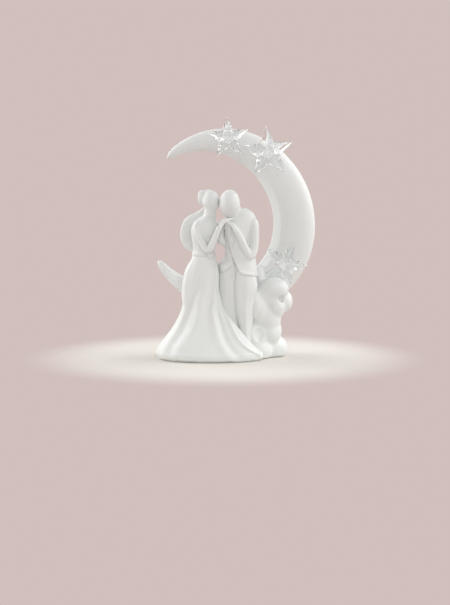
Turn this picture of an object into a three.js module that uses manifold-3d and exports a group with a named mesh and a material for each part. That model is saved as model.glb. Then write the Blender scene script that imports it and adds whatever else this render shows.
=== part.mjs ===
// Porcelain wedding cake topper: a couple in front of a crescent moon that rests in a cloud bank,
// with three clear acrylic stars glued to the front of the moon.
// Millimetres. X to the right, Y to the back, Z up. The origin is on the flat underside of the sole.

import * as THREE from 'three';
import { mergeVertices } from 'three/addons/utils/BufferGeometryUtils.js';
import Module from 'manifold-3d';

const wasm = await Module();
wasm.setup();

// Fits
const luteGap = 0.3; // seam between castings that are luted together, and at each glue pad
const cutOverrun = 3; // how far every cutter runs past what it cuts
const seamTidy = 0.01; // thin faces that the cuts leave are closed up to this
const leastRadius = 0.2; // a form that is drawn in never gets thinner than this

// Sole under the skirt and the clouds
const soleThickness = 3;
const soleInset = 2.5;
const hemLift = 0.6; // the hem and the clouds hang this far above the table
const ventDiameter = 8;
const ventPlaceShares = [-0.25, 0.2];

// Skirt
const skirtHeight = 69;
const hemHalfWidth = 36;
const hemHalfDepth = 23.8;
const hemX = -9.7;
const hemY = -5.7;
const waistHalfWidth = 7.5;
const waistHalfDepth = 6;
const waistShiftX = -4; // from the middle of the hem
const waistShiftY = -0.3;
const skirtWall = 3;
const foldHeight = 1.9;

// Bride above the waist
const bodiceHeight = 26.5;
const bodiceHalfWidth = 8.5;
const bodiceHalfDepth = 7;
const sashHeight = 2.8;
const sashStandoff = 0.5;
const knotRadius = 1.7;
const brideHeadHalfWidth = 5.7;
const brideHeadHalfDepth = 5.8;
const brideHeadHalfHeight = 7.4;
const brideHeadRise = 9.8; // collar to the middle of the head
const brideNeckRadius = 4;
const bunHalfWidth = 2.6;
const bunHalfHeight = 5.4;
const curlRadius = 1.2;
const veilWidth = 15.6;
const veilLength = 29.8;
const veilThickness = 4.2;
const veilRim = 1.2;
const brideArmRadius = 2.4;
const brideHandLength = 7;

// Groom
const groomX = 9.5;
const groomY = -6;
const jacketHem = 56.5; // height of the hem
const jacketHeight = 43.5;
const jacketHalfWidth = 10;
const jacketHalfDepth = 7;
const lapelRadius = 0.9;
const notchDepth = 6.5; // how deep the cut-away between the front flaps goes
const groomHeadHalfWidth = 7;
const groomHeadHalfDepth = 7.4;
const groomHeadHalfHeight = 9.6;
const groomHeadRise = 3.8; // collar to the middle of the bowed head
const groomHeadLean = 6; // towards the bride
const groomHeadBow = 3.2; // forward
const groomNeckRadius = 4;
const sleeveRadius = 3.2;
const groomHandLength = 6;
const leftLegHalfWidth = 4;
const leftLegHalfDepth = 5;
const leftLegShift = -7.8; // from the middle of the jacket
const rightLegHalfWidth = 7.3;
const rightLegHalfDepth = 7.2;
const rightLegShift = 4.9;
const legForward = 2;

// Crescent moon, between two tilted ellipses
const moonOuterHalfWidth = 57.2;
const moonOuterHalfHeight = 62.5;
const moonInnerHalfWidth = 42.2;
const moonInnerHalfHeight = 46.3;
const moonOuterTilt = THREE.MathUtils.degToRad(20.5);
const moonInnerTilt = THREE.MathUtils.degToRad(42.5);
const moonX = 3.3;
const moonY = 9;
const moonFootHeight = 29.8;
const moonInnerShiftX = -14.4;
const moonInnerShiftZ = 2.1;
const moonDepth = 18;
const moonUpperTipWidth = 4.5; // where each horn starts to round off to its tip
const moonLowerTipWidth = 4.5;
const moonNoseAngle = THREE.MathUtils.degToRad(7);

// Stars, and the glue between each and the moon
const leftStarRadius = 14.6;
const leftStarThickness = 6.6;
const rightStarRadius = 18.2;
const rightStarThickness = 7.6;
const lowerStarRadius = 16;
const lowerStarThickness = 6.6;
const starPoints = 5;
const starWaistShare = 0.43;
const peakShare = 0.02; // how wide the blunt peak in the middle of a star is
const starRim = 0.7;
const glueRadius = 3.2;
const glueThickness = 1.1;
const starSpecs = {
  star_upper_left: {
    radius: leftStarRadius,
    thickness: leftStarThickness,
    angle: 75.8,
    acrossShare: 0.32,
    turn: 94,
    lean: 3,
  },
  star_upper_right: {
    radius: rightStarRadius,
    thickness: rightStarThickness,
    angle: 47.7,
    acrossShare: 0.46,
    turn: 95,
    lean: -2,
  },
  star_lower: {
    radius: lowerStarRadius,
    thickness: lowerStarThickness,
    angle: -30.3,
    acrossShare: -0.02,
    turn: 66.5,
    lean: -3,
  },
};

// Clouds
const cloudX = 18;
const cloudReach = 28;
const cloudCrestDrop = 9.739; // from the middle of the lower star to the crest of the front bank

const ringPoints = 20;
const skirtRingPoints = 52;
const limbSides = 8;

const alabaster = { color: 0xd9dddb, roughness: 0.62, metalness: 0 };
const clearAcrylic = { color: 0xeef3f6, roughness: 0.05, metalness: 0 };
const clearGlue = { color: 0xe6e9e6, roughness: 0.3, metalness: 0 };

// Solids from three.js geometry

function solidOf(geometry) {
  const bare = geometry.clone();
  bare.deleteAttribute('normal');
  bare.deleteAttribute('uv');
  const merged = mergeVertices(bare);
  const mesh = new wasm.Mesh({
    numProp: 3,
    vertProperties: new Float32Array(merged.attributes.position.array),
    triVerts: new Uint32Array(merged.index.array),
  });
  return new wasm.Manifold(mesh);
}

function geometryOf(solid) {
  const { vertProperties, triVerts } = solid.getMesh();
  const geometry = new THREE.BufferGeometry();
  geometry.setAttribute('position', new THREE.BufferAttribute(new Float32Array(vertProperties), 3));
  geometry.setIndex(new THREE.BufferAttribute(new Uint32Array(triVerts), 1));
  geometry.computeVertexNormals();
  return geometry;
}

const joined = (...solids) => solids.reduce((whole, piece) => whole.add(piece));

const cutBy = (solid, ...cutters) => cutters.reduce((rest, cutter) => rest.subtract(cutter), solid);

// A casting is one body: the crumbs that a cut leaves behind are rubbed off.
const mainBody = (solid) => solid.decompose().reduce((a, b) => (a.volume() > b.volume() ? a : b));

// Closed skin over rings with the same number of points, each end drawn to its own middle.
function loft(rings) {
  const count = rings[0].length;
  const middles = [rings[0], rings[rings.length - 1]].map((ring) =>
    ring.reduce((sum, point) => sum.add(point), new THREE.Vector3()).divideScalar(count),
  );
  const positions = [...rings.flat(), ...middles].flatMap((point) => point.toArray());
  const faces = [];
  for (let row = 0; row < rings.length - 1; row++) {
    for (let i = 0; i < count; i++) {
      const next = (i + 1) % count;
      const [here, above] = [row * count, (row + 1) * count];
      faces.push([here + i, here + next, above + next], [here + i, above + next, above + i]);
    }
  }
  const firstMiddle = rings.length * count;
  const lastRow = (rings.length - 1) * count;
  for (let i = 0; i < count; i++) {
    const next = (i + 1) % count;
    faces.push([firstMiddle, next, i], [firstMiddle + 1, lastRow + i, lastRow + next]);
  }
  const inward = signedVolume(positions, faces) < 0;
  const geometry = new THREE.BufferGeometry();
  geometry.setAttribute('position', new THREE.Float32BufferAttribute(positions, 3));
  geometry.setIndex(faces.flatMap((face) => (inward ? [...face].reverse() : face)));
  return solidOf(geometry);
}

function signedVolume(positions, faces) {
  const corner = (i) => new THREE.Vector3().fromArray(positions, 3 * i);
  return faces.reduce((sum, [a, b, c]) => sum + corner(a).dot(corner(b).cross(corner(c))), 0);
}

// Oval section at one height, from its four edges. rightY is where the right edge lies in depth.
function ovalRing({ left, right, front, back, rightY, z }, grow, count = ringPoints, ridge = () => 0) {
  const middleX = (left + right) / 2;
  const middleY = (front + back) / 2;
  return Array.from({ length: count }, (_, i) => {
    const angle = (i / count) * 2 * Math.PI;
    const sideY = Math.cos(angle) > 0 ? rightY ?? middleY : middleY;
    const halfWidth = (right - left) / 2;
    const halfDepth = Math.sin(angle) > 0 ? sideY - front : back - sideY;
    const out = grow + ridge(THREE.MathUtils.radToDeg(angle));
    return new THREE.Vector3(
      middleX + Math.max(halfWidth + out, leastRadius) * Math.cos(angle),
      sideY - Math.max(halfDepth + out, leastRadius) * Math.sin(angle),
      z,
    );
  });
}

// Loft of oval sections that also reaches further at both ends when it is grown.
function ovalLoft(sections, grow = 0, count = ringPoints) {
  const rings = sections.map((section, i) => {
    const end = i === 0 ? -grow : i === sections.length - 1 ? grow : 0;
    return ovalRing({ ...section, z: section.z + end }, grow, count);
  });
  return loft(rings);
}

// Round or flattened limb through its stations, with rounded ends.
// A station is its middle, its radius, and how much thinner it is in depth.
function limb(stations, grow = 0, sides = limbSides, stepsPerSpan = 3) {
  const curve = new THREE.CatmullRomCurve3(stations.map(({ at }) => at), false, 'centripetal');
  const steps = (stations.length - 1) * stepsPerSpan;
  const value = (key, t) => {
    const place = t * (stations.length - 1);
    const i = Math.min(Math.floor(place), stations.length - 2);
    return THREE.MathUtils.lerp(stations[i][key] ?? 1, stations[i + 1][key] ?? 1, place - i);
  };
  const capShares = [0.5, 0.87];
  const places = [
    ...capShares.map((share) => ({ t: 0, share, slide: -Math.sqrt(1 - share * share) })),
    ...Array.from({ length: steps + 1 }, (_, i) => ({ t: i / steps, share: 1, slide: 0 })),
    ...[...capShares].reverse().map((share) => ({ t: 1, share, slide: Math.sqrt(1 - share * share) })),
  ];
  const side = new THREE.Vector3();
  const depth = new THREE.Vector3();
  const rings = places.map(({ t, share, slide }) => {
    const along = curve.getTangent(t);
    side.crossVectors(along, new THREE.Vector3(0, 1, 0)).normalize();
    depth.crossVectors(side, along).normalize();
    const radius = value('radius', t) + grow;
    const middle = curve.getPoint(t).addScaledVector(along, slide * radius);
    return Array.from({ length: sides }, (_, i) => {
      const angle = (i / sides) * 2 * Math.PI;
      return middle
        .clone()
        .addScaledVector(side, Math.cos(angle) * radius * share)
        .addScaledVector(depth, Math.sin(angle) * (value('radius', t) * value('flat', t) + grow) * share);
    });
  });
  return loft(rings);
}

// Ball drawn out to three radii. The lower half narrows to a chin by the given share.
function egg(middle, radii, grow = 0, chinShare = 0, around = 16, rows = 10) {
  const geometry = new THREE.SphereGeometry(1, around, rows).rotateX(Math.PI / 2);
  const position = geometry.attributes.position;
  const point = new THREE.Vector3();
  for (let i = 0; i < position.count; i++) {
    point.fromBufferAttribute(position, i);
    const draw = 1 - chinShare * Math.max(-point.z, 0) ** 2;
    point.set(
      middle.x + point.x * draw * Math.max(radii.x + grow, leastRadius),
      middle.y + point.y * draw * Math.max(radii.y + grow, leastRadius),
      middle.z + point.z * Math.max(radii.z + grow, leastRadius),
    );
    position.setXYZ(i, point.x, point.y, point.z);
  }
  return solidOf(geometry);
}

// Plate between two heights, from its outline in plan.
function plate(outline, low, high) {
  const shape = new THREE.Shape(outline.map(({ x, y }) => new THREE.Vector2(x, y)));
  const geometry = new THREE.ExtrudeGeometry(shape, { depth: high - low, bevelEnabled: false });
  return solidOf(geometry.translate(0, 0, low));
}

// Block that hides everything below a height.
function groundUnder(height) {
  const span = 4 * (hemHalfWidth + cloudReach);
  return solidOf(new THREE.BoxGeometry(span, span, span).translate(0, 0, height - span / 2));
}

// Skirt

const waistX = hemX + waistShiftX;
const waistY = hemY + waistShiftY;

// Height, then how far the left, right, front and back edges have gone from the waist out to the hem,
// and how far forward the right edge lies, where the train sweeps round in front of the groom.
const skirtShares = [
  [0, 0.93, 0.965, 0.95, 0.94, 0.19],
  [0.02, 0.97, 0.99, 1, 1, 0.19],
  [0.05, 1.005, 0.985, 1, 1, 0.21],
  [0.085, 0.985, 0.915, 0.94, 0.93, 0.26],
  [0.14, 0.9, 0.79, 0.86, 0.83, 0.32],
  [0.215, 0.735, 0.65, 0.71, 0.67, 0.38],
  [0.295, 0.565, 0.51, 0.59, 0.47, 0.4],
  [0.37, 0.445, 0.385, 0.5, 0.33, 0.38],
  [0.45, 0.34, 0.24, 0.43, 0.25, 0.34],
  [0.53, 0.28, 0.13, 0.38, 0.21, 0.28],
  [0.62, 0.3, 0.09, 0.34, 0.195, 0.21],
  [0.72, 0.29, 0.08, 0.285, 0.195, 0.15],
  [0.81, 0.245, 0.09, 0.23, 0.17, 0.1],
  [0.89, 0.17, 0.075, 0.14, 0.11, 0.04],
  [0.965, 0.04, 0.022, 0.04, 0.03, 0],
  [1, 0, 0, 0, 0, 0],
];

// Where each fold runs, in degrees round from the right edge over the front, at the waist and at the hem,
// with its share of the fold height and its half-width in degrees.
const folds = [
  { waist: 24, hem: 36, heightShare: 0.9, spread: 9 },
  { waist: 46, hem: 72, heightShare: 0.8, spread: 12 },
  { waist: 72, hem: 124, heightShare: 1, spread: 13 },
  { waist: 112, hem: 156, heightShare: 0.6, spread: 12 },
  { waist: 205, hem: 208, heightShare: 0.7, spread: 13 },
  { waist: 242, hem: 244, heightShare: 0.9, spread: 13 },
  { waist: 278, hem: 280, heightShare: 0.8, spread: 13 },
  { waist: 316, hem: 322, heightShare: 0.6, spread: 12 },
];

const skirtSections = skirtShares.map(([height, left, right, front, back, rightForward]) => ({
  left: THREE.MathUtils.lerp(waistX - waistHalfWidth, hemX - hemHalfWidth, left),
  right: THREE.MathUtils.lerp(waistX + waistHalfWidth, hemX + hemHalfWidth, right),
  front: THREE.MathUtils.lerp(waistY - waistHalfDepth, hemY - hemHalfDepth, front),
  back: THREE.MathUtils.lerp(waistY + waistHalfDepth, hemY + hemHalfDepth, back),
  rightY: THREE.MathUtils.lerp(waistY, hemY - hemHalfDepth, rightForward),
  z: hemLift + height * (skirtHeight - hemLift),
}));

// Folds die away at the waist and at the rolled hem.
function foldRidge(z) {
  const height = (z - hemLift) / (skirtHeight - hemLift);
  const fade = Math.sin(Math.PI * Math.min(Math.max(height, 0), 1) ** 0.6) ** 0.7;
  return (angle) =>
    folds.reduce((sum, { waist, hem, heightShare, spread }) => {
      const middle = THREE.MathUtils.lerp(hem, waist, height);
      return sum + foldHeight * heightShare * fade * Math.exp(-(((angle - middle) / spread) ** 2));
    }, 0);
}

function skirtForm(grow = 0) {
  const rings = skirtSections.map((section, i) => {
    const end = i === 0 ? -grow : i === skirtSections.length - 1 ? grow : 0;
    return ovalRing({ ...section, z: section.z + end }, grow, skirtRingPoints, foldRidge(section.z));
  });
  return loft(rings);
}

function skirtHollow() {
  const inner = skirtSections
    .filter((_, i) => i % 2 === 0)
    .map((section, i) => ({ ...section, z: i === 0 ? section.z - cutOverrun : section.z }))
    .filter(({ z }) => z < skirtHeight - 2 * skirtWall);
  return ovalLoft(inner, -skirtWall);
}

// Crescent moon

const ellipseReach = (halfWidth, halfHeight, tilt) =>
  Math.hypot(halfWidth * Math.sin(tilt), halfHeight * Math.cos(tilt));

const moonZ = moonFootHeight + ellipseReach(moonOuterHalfWidth, moonOuterHalfHeight, moonOuterTilt);
const moonHeart = new THREE.Vector2(moonX + moonInnerShiftX, moonZ + moonInnerShiftZ);

// Distance from the moon's heart to a tilted ellipse, along an angle.
function reachTo(centre, halfWidth, halfHeight, tilt, angle) {
  const turned = (x, y) => [
    (x * Math.cos(tilt) + y * Math.sin(tilt)) / halfWidth,
    (y * Math.cos(tilt) - x * Math.sin(tilt)) / halfHeight,
  ];
  const [fromX, fromY] = turned(moonHeart.x - centre.x, moonHeart.y - centre.y);
  const [stepX, stepY] = turned(Math.cos(angle), Math.sin(angle));
  const a = stepX ** 2 + stepY ** 2;
  const b = fromX * stepX + fromY * stepY;
  const c = fromX ** 2 + fromY ** 2 - 1;
  return (Math.sqrt(b * b - a * c) - b) / a;
}

const moonCentre = new THREE.Vector2(moonX, moonZ);
const outerReach = (angle) =>
  reachTo(moonCentre, moonOuterHalfWidth, moonOuterHalfHeight, moonOuterTilt, angle);
const innerReach = (angle) =>
  reachTo(moonHeart, moonInnerHalfWidth, moonInnerHalfHeight, moonInnerTilt, angle);
const moonWidth = (angle) => outerReach(angle) - innerReach(angle);

// The horn ends where the crescent has narrowed to its tip width.
function hornAngle(turn, tipWidth) {
  const step = Math.PI / 720;
  let angle = 0;
  while (moonWidth(angle + turn * step) > tipWidth && Math.abs(angle) < Math.PI) {
    angle += turn * step;
  }
  return angle;
}

const moonAngles = { upper: hornAngle(1, moonUpperTipWidth), lower: hornAngle(-1, moonLowerTipWidth) };
const widestMoon = Math.max(...Array.from({ length: 60 }, (_, i) => moonWidth((i / 30 - 1) * (Math.PI / 2))));

// Across the crescent from its inner edge to its outer edge, and how deep it is there.
const moonSectionShares = [
  [-1, 0.3],
  [-0.62, 0.86],
  [-0.3, 0.97],
  [0.1, 1],
  [0.45, 0.9],
  [0.75, 0.66],
  [0.93, 0.36],
];

// Each horn ends in a round nose.
function noseShare(angle) {
  const toTip = Math.min(moonAngles.upper - angle, angle - moonAngles.lower);
  return Math.sqrt(1 - (1 - Math.min(Math.max(toTip / moonNoseAngle, 0.04), 1)) ** 2);
}

const moonHalfDepth = (angle) => (moonDepth / 2) * (moonWidth(angle) / widestMoon) ** 0.75 * noseShare(angle);

function moonPoint(angle, across, deep, grow = 0) {
  const middle = (outerReach(angle) + innerReach(angle)) / 2;
  const reach = middle + across * ((moonWidth(angle) / 2) * noseShare(angle) + grow);
  return new THREE.Vector3(
    moonHeart.x + reach * Math.cos(angle),
    moonY + deep * (moonHalfDepth(angle) + grow),
    moonHeart.y + reach * Math.sin(angle),
  );
}

function moonForm(grow = 0, steps = 34) {
  const { upper, lower } = moonAngles;
  const noseAngles = [0, 0.15, 0.45].map((share) => share * moonNoseAngle);
  const angles = [
    ...noseAngles.map((turn) => upper - turn),
    ...Array.from({ length: steps + 1 }, (_, i) =>
      THREE.MathUtils.lerp(upper - moonNoseAngle, lower + moonNoseAngle, i / steps),
    ),
    ...[...noseAngles].reverse().map((turn) => lower + turn),
  ];
  const rings = angles.map((angle) => [
    ...moonSectionShares.map(([across, deep]) => moonPoint(angle, across, -deep, grow)),
    moonPoint(angle, 1, 0, grow),
    ...[...moonSectionShares].reverse().map(([across, deep]) => moonPoint(angle, across, deep, grow)),
  ]);
  return loft(rings);
}

// Depth of the moon's front face at a place across it.
function moonFront(angle, across) {
  const shares = [...moonSectionShares, [1, 0]];
  const i = Math.max(shares.findIndex(([place]) => place > across) - 1, 0);
  const [from, to] = [shares[i], shares[i + 1]];
  const deep = THREE.MathUtils.mapLinear(across, from[0], to[0], from[1], to[1]);
  return moonPoint(angle, across, -deep);
}

// Bride

const bridePoint = ([x, y, z]) =>
  new THREE.Vector3(x * bodiceHalfWidth, y * bodiceHalfDepth, z * bodiceHeight).add(
    new THREE.Vector3(waistX, waistY, skirtHeight),
  );

// Rows of a torso: height, then left, right, front and back, from its middle.
const torsoSections = (shares, middle, halfWidth, halfDepth, foot, tall) =>
  shares.map(([height, left, right, front, back]) => ({
    left: middle.x - left * halfWidth,
    right: middle.x + right * halfWidth,
    front: middle.y - front * halfDepth,
    back: middle.y + back * halfDepth,
    z: foot + height * tall,
  }));

const bodiceShares = [
  [0.06, 0.9, 0.9, 0.8, 0.82],
  [0.18, 0.84, 0.88, 0.8, 0.79],
  [0.38, 0.92, 1, 0.93, 0.86],
  [0.6, 1, 1.12, 1.07, 0.93],
  [0.78, 0.9, 1.12, 0.95, 0.93],
  [0.88, 0.68, 1.04, 0.8, 0.84],
  [0.96, 0.34, 0.92, 0.58, 0.7],
  [1.02, 0.1, 0.84, 0.46, 0.58],
];

const bodiceSections = torsoSections(
  bodiceShares,
  new THREE.Vector2(waistX, waistY),
  bodiceHalfWidth,
  bodiceHalfDepth,
  skirtHeight,
  bodiceHeight,
);

// The sash is a band round the waist, a little proud of the skirt's top and of the bodice.
function sashForm(grow = 0) {
  const waist = skirtSections[skirtSections.length - 1];
  const bulge = (height, out) => ({
    ...waist,
    left: waist.left - out,
    right: waist.right + out,
    front: waist.front - out,
    back: waist.back + out,
    z: skirtHeight + height,
  });
  return ovalLoft([bulge(0, 0), bulge(sashHeight / 3, sashStandoff), bulge(sashHeight, 0)], grow);
}

const knotShares = [0.55, -0.9, 0];

function bodiceForm(grow = 0) {
  const knot = bridePoint(knotShares).add(new THREE.Vector3(0, 0, sashHeight / 2));
  return joined(
    ovalLoft(bodiceSections, grow),
    sashForm(grow),
    egg(knot, new THREE.Vector3(knotRadius, knotRadius, sashHeight / 2), grow, 0, 8, 6),
  );
}

// Stations of a limb from rows of shares: the place, then thickness, then how flat it is in depth.
const stations = (shares, place, radius) =>
  shares.map(([x, y, z, thick = 1, flat = 1]) => ({ at: place([x, y, z]), radius: radius * thick, flat }));

const brideHead = bridePoint([0.57, 0.12, 1]).add(new THREE.Vector3(0, 0, brideHeadRise));
const brideChinShare = 0.15;
const brideNeckShares = [
  [0.52, 0.12, 1.2],
  [0.45, 0.08, 0.96],
  [0.4, 0.05, 0.86],
];

function brideHeadForm(grow = 0) {
  const radii = new THREE.Vector3(brideHeadHalfWidth, brideHeadHalfDepth, brideHeadHalfHeight);
  const neck = stations(brideNeckShares, bridePoint, brideNeckRadius);
  return joined(egg(brideHead, radii, grow, brideChinShare), limb(neck, grow, 12, 1));
}

const headSpot = ([x, y, z]) =>
  new THREE.Vector3(
    brideHead.x + x * brideHeadHalfWidth,
    brideHead.y + y * brideHeadHalfDepth,
    brideHead.z + z * brideHeadHalfHeight,
  );

const bunShares = [-1.14, 0.35, 0.3];
const bunTaperShare = 0.5;
const curlShares = [
  [-1.05, 0.3, 0.8],
  [-0.7, 0.15, 0.9],
  [-0.2, 0.05, 0.93],
];

function bunForm(grow = 0) {
  const radii = new THREE.Vector3(bunHalfWidth, bunHalfWidth, bunHalfHeight);
  const bun = egg(headSpot(bunShares), radii, grow, bunTaperShare, 12, 8);
  return joined(bun, limb(stations(curlShares, headSpot, curlRadius), grow, 8, 2));
}

// Outline of the veil seen from the front, from the nape down its free side and up the back.
const veilShares = [
  [0.05, 0],
  [-0.15, -0.09],
  [-0.43, -0.17],
  [-0.68, -0.24],
  [-0.86, -0.34],
  [-0.97, -0.49],
  [-1, -0.66],
  [-0.95, -0.79],
  [-0.82, -0.91],
  [-0.57, -1],
  [-0.26, -0.93],
  [-0.03, -0.69],
  [0.05, -0.35],
  [0.14, -0.08],
];

const napeShares = [-0.92, 0, -0.6];

function veilForm() {
  const nape = headSpot(napeShares);
  const outline = new THREE.CatmullRomCurve3(
    veilShares.map(([x, z]) => new THREE.Vector3(x * (veilWidth - veilRim), z * (veilLength - veilRim), 0)),
    true,
  );
  const points = outline.getPoints(30).slice(0, -1);
  const shape = new THREE.Shape(points.map(({ x, y }) => new THREE.Vector2(x, y)));
  const geometry = new THREE.ExtrudeGeometry(shape, {
    depth: veilThickness - 2 * veilRim,
    bevelThickness: veilRim,
    bevelSize: veilRim,
    bevelSegments: 2,
  });
  geometry.rotateX(Math.PI / 2);
  return solidOf(geometry.translate(nape.x, waistY + bodiceHalfDepth + veilThickness / 2, nape.z));
}

// Groom

const groomPoint = ([x, y, z]) =>
  new THREE.Vector3(x * jacketHalfWidth, y * jacketHalfDepth, z * jacketHeight).add(
    new THREE.Vector3(groomX, groomY, jacketHem),
  );

const jacketShares = [
  [0, 1.25, 1.24, 1.36, 1],
  [0.04, 1.29, 1.27, 1.34, 1],
  [0.12, 1.31, 1.23, 1.24, 1],
  [0.18, 1.2, 1.18, 1.15, 0.98],
  [0.23, 1.03, 1.15, 1.07, 0.96],
  [0.36, 0.9, 0.93, 0.97, 0.9],
  [0.52, 0.93, 0.81, 1.06, 0.96],
  [0.7, 0.93, 0.93, 1.11, 1],
  [0.84, 0.85, 1.19, 0.94, 1],
  [0.93, 0.6, 1.04, 0.72, 0.92],
  [0.975, 0.48, 0.84, 0.55, 0.8],
  [1.015, 0.34, 0.54, 0.38, 0.6],
];

// The tails hang behind the legs.
const tailShares = [
  [-0.27, 0.8, 0.85, -0.55, 0.9],
  [-0.2, 1.05, 1, -0.5, 0.95],
  [-0.05, 1.3, 1.1, -0.4, 1],
  [0.1, 1.42, 1, -0.3, 1],
  [0.17, 1.36, 1, -0.2, 0.9],
];

const [jacketSections, tailSections] = [jacketShares, tailShares].map((shares) =>
  torsoSections(
    shares,
    new THREE.Vector2(groomX, groomY),
    jacketHalfWidth,
    jacketHalfDepth,
    jacketHem,
    jacketHeight,
  ),
);

const lapelShares = [
  [
    [-0.63, -1.02, 0.77],
    [-0.66, -1.03, 0.66],
    [-0.6, -1.04, 0.52],
    [-0.44, -0.94, 0.36],
  ],
  [
    [0.02, -1.1, 0.64],
    [-0.03, -1.1, 0.6],
    [-0.15, -1.05, 0.52],
    [-0.44, -0.94, 0.36],
  ],
];

// Cut-away between the two front flaps.
const notchShares = [
  [-0.46, 0.295],
  [-0.385, 0.19],
  [-0.53, 0.14],
  [-0.81, 0.09],
  [-1.14, 0.04],
  [-1.45, -0.2],
  [0.3, -0.2],
  [0.2, 0.035],
  [0.02, 0.075],
  [-0.13, 0.143],
  [-0.33, 0.247],
];

function notchForm() {
  const corner = ([x, z]) => new THREE.Vector2(groomX + x * jacketHalfWidth, z * jacketHeight);
  const outline = notchShares.map(corner);
  const run = notchDepth + jacketHalfDepth;
  const geometry = new THREE.ExtrudeGeometry(new THREE.Shape(outline), { depth: run, bevelEnabled: false });
  const front = groomY - 1.4 * jacketHalfDepth;
  return solidOf(geometry.rotateX(Math.PI / 2).translate(0, front + notchDepth, jacketHem));
}

function jacketForm(grow = 0) {
  const lapels = lapelShares.map((line) =>
    limb(stations(line, groomPoint, lapelRadius), grow, 6, 2),
  );
  return joined(ovalLoft(jacketSections, grow), ovalLoft(tailSections, grow, 14), ...lapels);
}

const groomHead = new THREE.Vector3(
  groomX - groomHeadLean,
  groomY - groomHeadBow,
  jacketHem + jacketHeight + groomHeadRise,
);
const groomChinShare = 0.3;
const groomNeckShares = [
  [-0.3, 0.1, 1.03],
  [-0.15, 0.15, 0.96],
  [0, 0.2, 0.88],
];
const chin = groomHead.clone().add(new THREE.Vector3(0, 0, -groomHeadHalfHeight));

function groomHeadForm(grow = 0) {
  const radii = new THREE.Vector3(groomHeadHalfWidth, groomHeadHalfDepth, groomHeadHalfHeight);
  const neck = stations(groomNeckShares, groomPoint, groomNeckRadius);
  return joined(egg(groomHead, radii, grow, groomChinShare), limb(neck, grow, 12, 1));
}

// Trouser legs. Height as a share of the jacket hem's height, then left, right, front and back.
// The last row is the hip, inside the jacket.
const leftLegShares = [
  [0.3, 0.6, 2.1, 0.8, 0.8],
  [0.44, 1.1, 2.1, 0.86, 0.8],
  [0.58, 1.35, 2, 0.9, 0.86],
  [0.7, 1.4, 1.95, 0.92, 0.9],
  [0.85, 1.4, 1.9, 0.92, 1],
  [1, 1.4, 1.85, 0.74, 1.1],
  [1.14, 1.3, 1.6, 0.4, 1],
];

const rightLegShares = [
  [0, 0.3, 0.5, 0.98, 0.4],
  [0.18, 0.42, 0.54, 0.96, 0.45],
  [0.3, 0.66, 0.58, 0.97, 0.5],
  [0.46, 0.9, 0.66, 0.97, 0.58],
  [0.6, 1.05, 0.74, 1, 0.7],
  [0.72, 1.12, 0.86, 1.05, 0.75],
  [0.86, 1.12, 1.08, 1.08, 0.85],
  [1, 1.05, 0.94, 0.85, 0.95],
  [1.14, 0.8, 0.55, 0.5, 0.9],
];

function legForm(shares, shift, halfWidth, halfDepth, grow) {
  const foot = soleThickness + luteGap;
  const middle = new THREE.Vector2(groomX + shift, groomY - legForward);
  return ovalLoft(torsoSections(shares, middle, halfWidth, halfDepth, foot, jacketHem - foot), grow, 18);
}

const leftLegForm = (grow = 0) =>
  legForm(leftLegShares, leftLegShift, leftLegHalfWidth, leftLegHalfDepth, grow);
const rightLegForm = (grow = 0) =>
  legForm(rightLegShares, rightLegShift, rightLegHalfWidth, rightLegHalfDepth, grow);

// Arms. Both near hands end at the groom's chin, so their stations are shares of the hand's length from
// there. Each far arm ends on the other figure.

const fromChin = (length) => ([x, y, z]) =>
  chin.clone().add(new THREE.Vector3(x * length, y * length, z * length));

const brideNearArmShares = [
  [-0.4, -0.3, 0.82, 1.15],
  [-0.56, -0.68, 0.72, 1.1],
  [-0.42, -0.95, 0.56, 1],
  [-0.1, -1.13, 0.36, 0.95],
  [0.22, -1.3, 0.19, 0.9],
  [0.42, -1.38, 0.17, 0.9],
  [0.65, -1.43, 0.32, 0.95],
  [0.95, -1.43, 0.54, 0.82],
  [1.17, -1.39, 0.713, 0.72],
];

const brideHandShares = [
  [-0.81, -0.77, -0.66, 0.64, 1],
  [-0.64, -0.68, -0.37, 0.62, 1.2],
  [-0.37, -0.58, -0.16, 0.54, 1.4],
  [0, -0.45, -0.07, 0.46, 1.4],
  [0.3, -0.4, -0.04, 0.3, 1.3],
];

const groomNearArmShares = [
  [0.72, 0, 0.87, 1],
  [0.99, -0.3, 0.79, 1.02],
  [1.04, -0.45, 0.65, 1],
  [1.02, -0.58, 0.48, 0.96],
  [0.94, -0.72, 0.36, 0.92],
  [0.76, -0.88, 0.3, 0.9],
  [0.5, -1.08, 0.385, 0.84],
  [0.1, -1.34, 0.585, 0.72],
  [-0.22, -1.42, 0.71, 0.6],
];

const groomHandShares = [
  [0.25, -0.85, -0.6, 0.5],
  [-0.15, -0.75, -0.42, 0.42],
  [-0.5, -0.65, -0.3, 0.3],
];

const brideFarArmShares = [
  [0.8, 0.3, 0.76, 1.1],
  [1.3, 0.3, 0.62, 1.25],
  [1.3, 0.1, 0.43, 1.35],
];
const farHandOnGroomShares = [[-0.86, 0.02, 0.48, 1]];

const groomFarArmShares = [
  [-0.65, 0.5, 0.83, 0.9],
  [-1.25, 0.95, 0.74, 0.8],
  [-1.9, 1.1, 0.64, 0.7],
  [-2.5, 0.95, 0.56, 0.55],
];
const farHandOnBrideShares = [[-0.7, 1.06, 0.38, 0.42]];

const brideNearArmForm = (grow = 0) =>
  limb(
    [
      ...stations(brideNearArmShares, bridePoint, brideArmRadius),
      ...stations(brideHandShares, fromChin(brideHandLength), brideArmRadius),
    ],
    grow,
    limbSides,
    2,
  );

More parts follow.
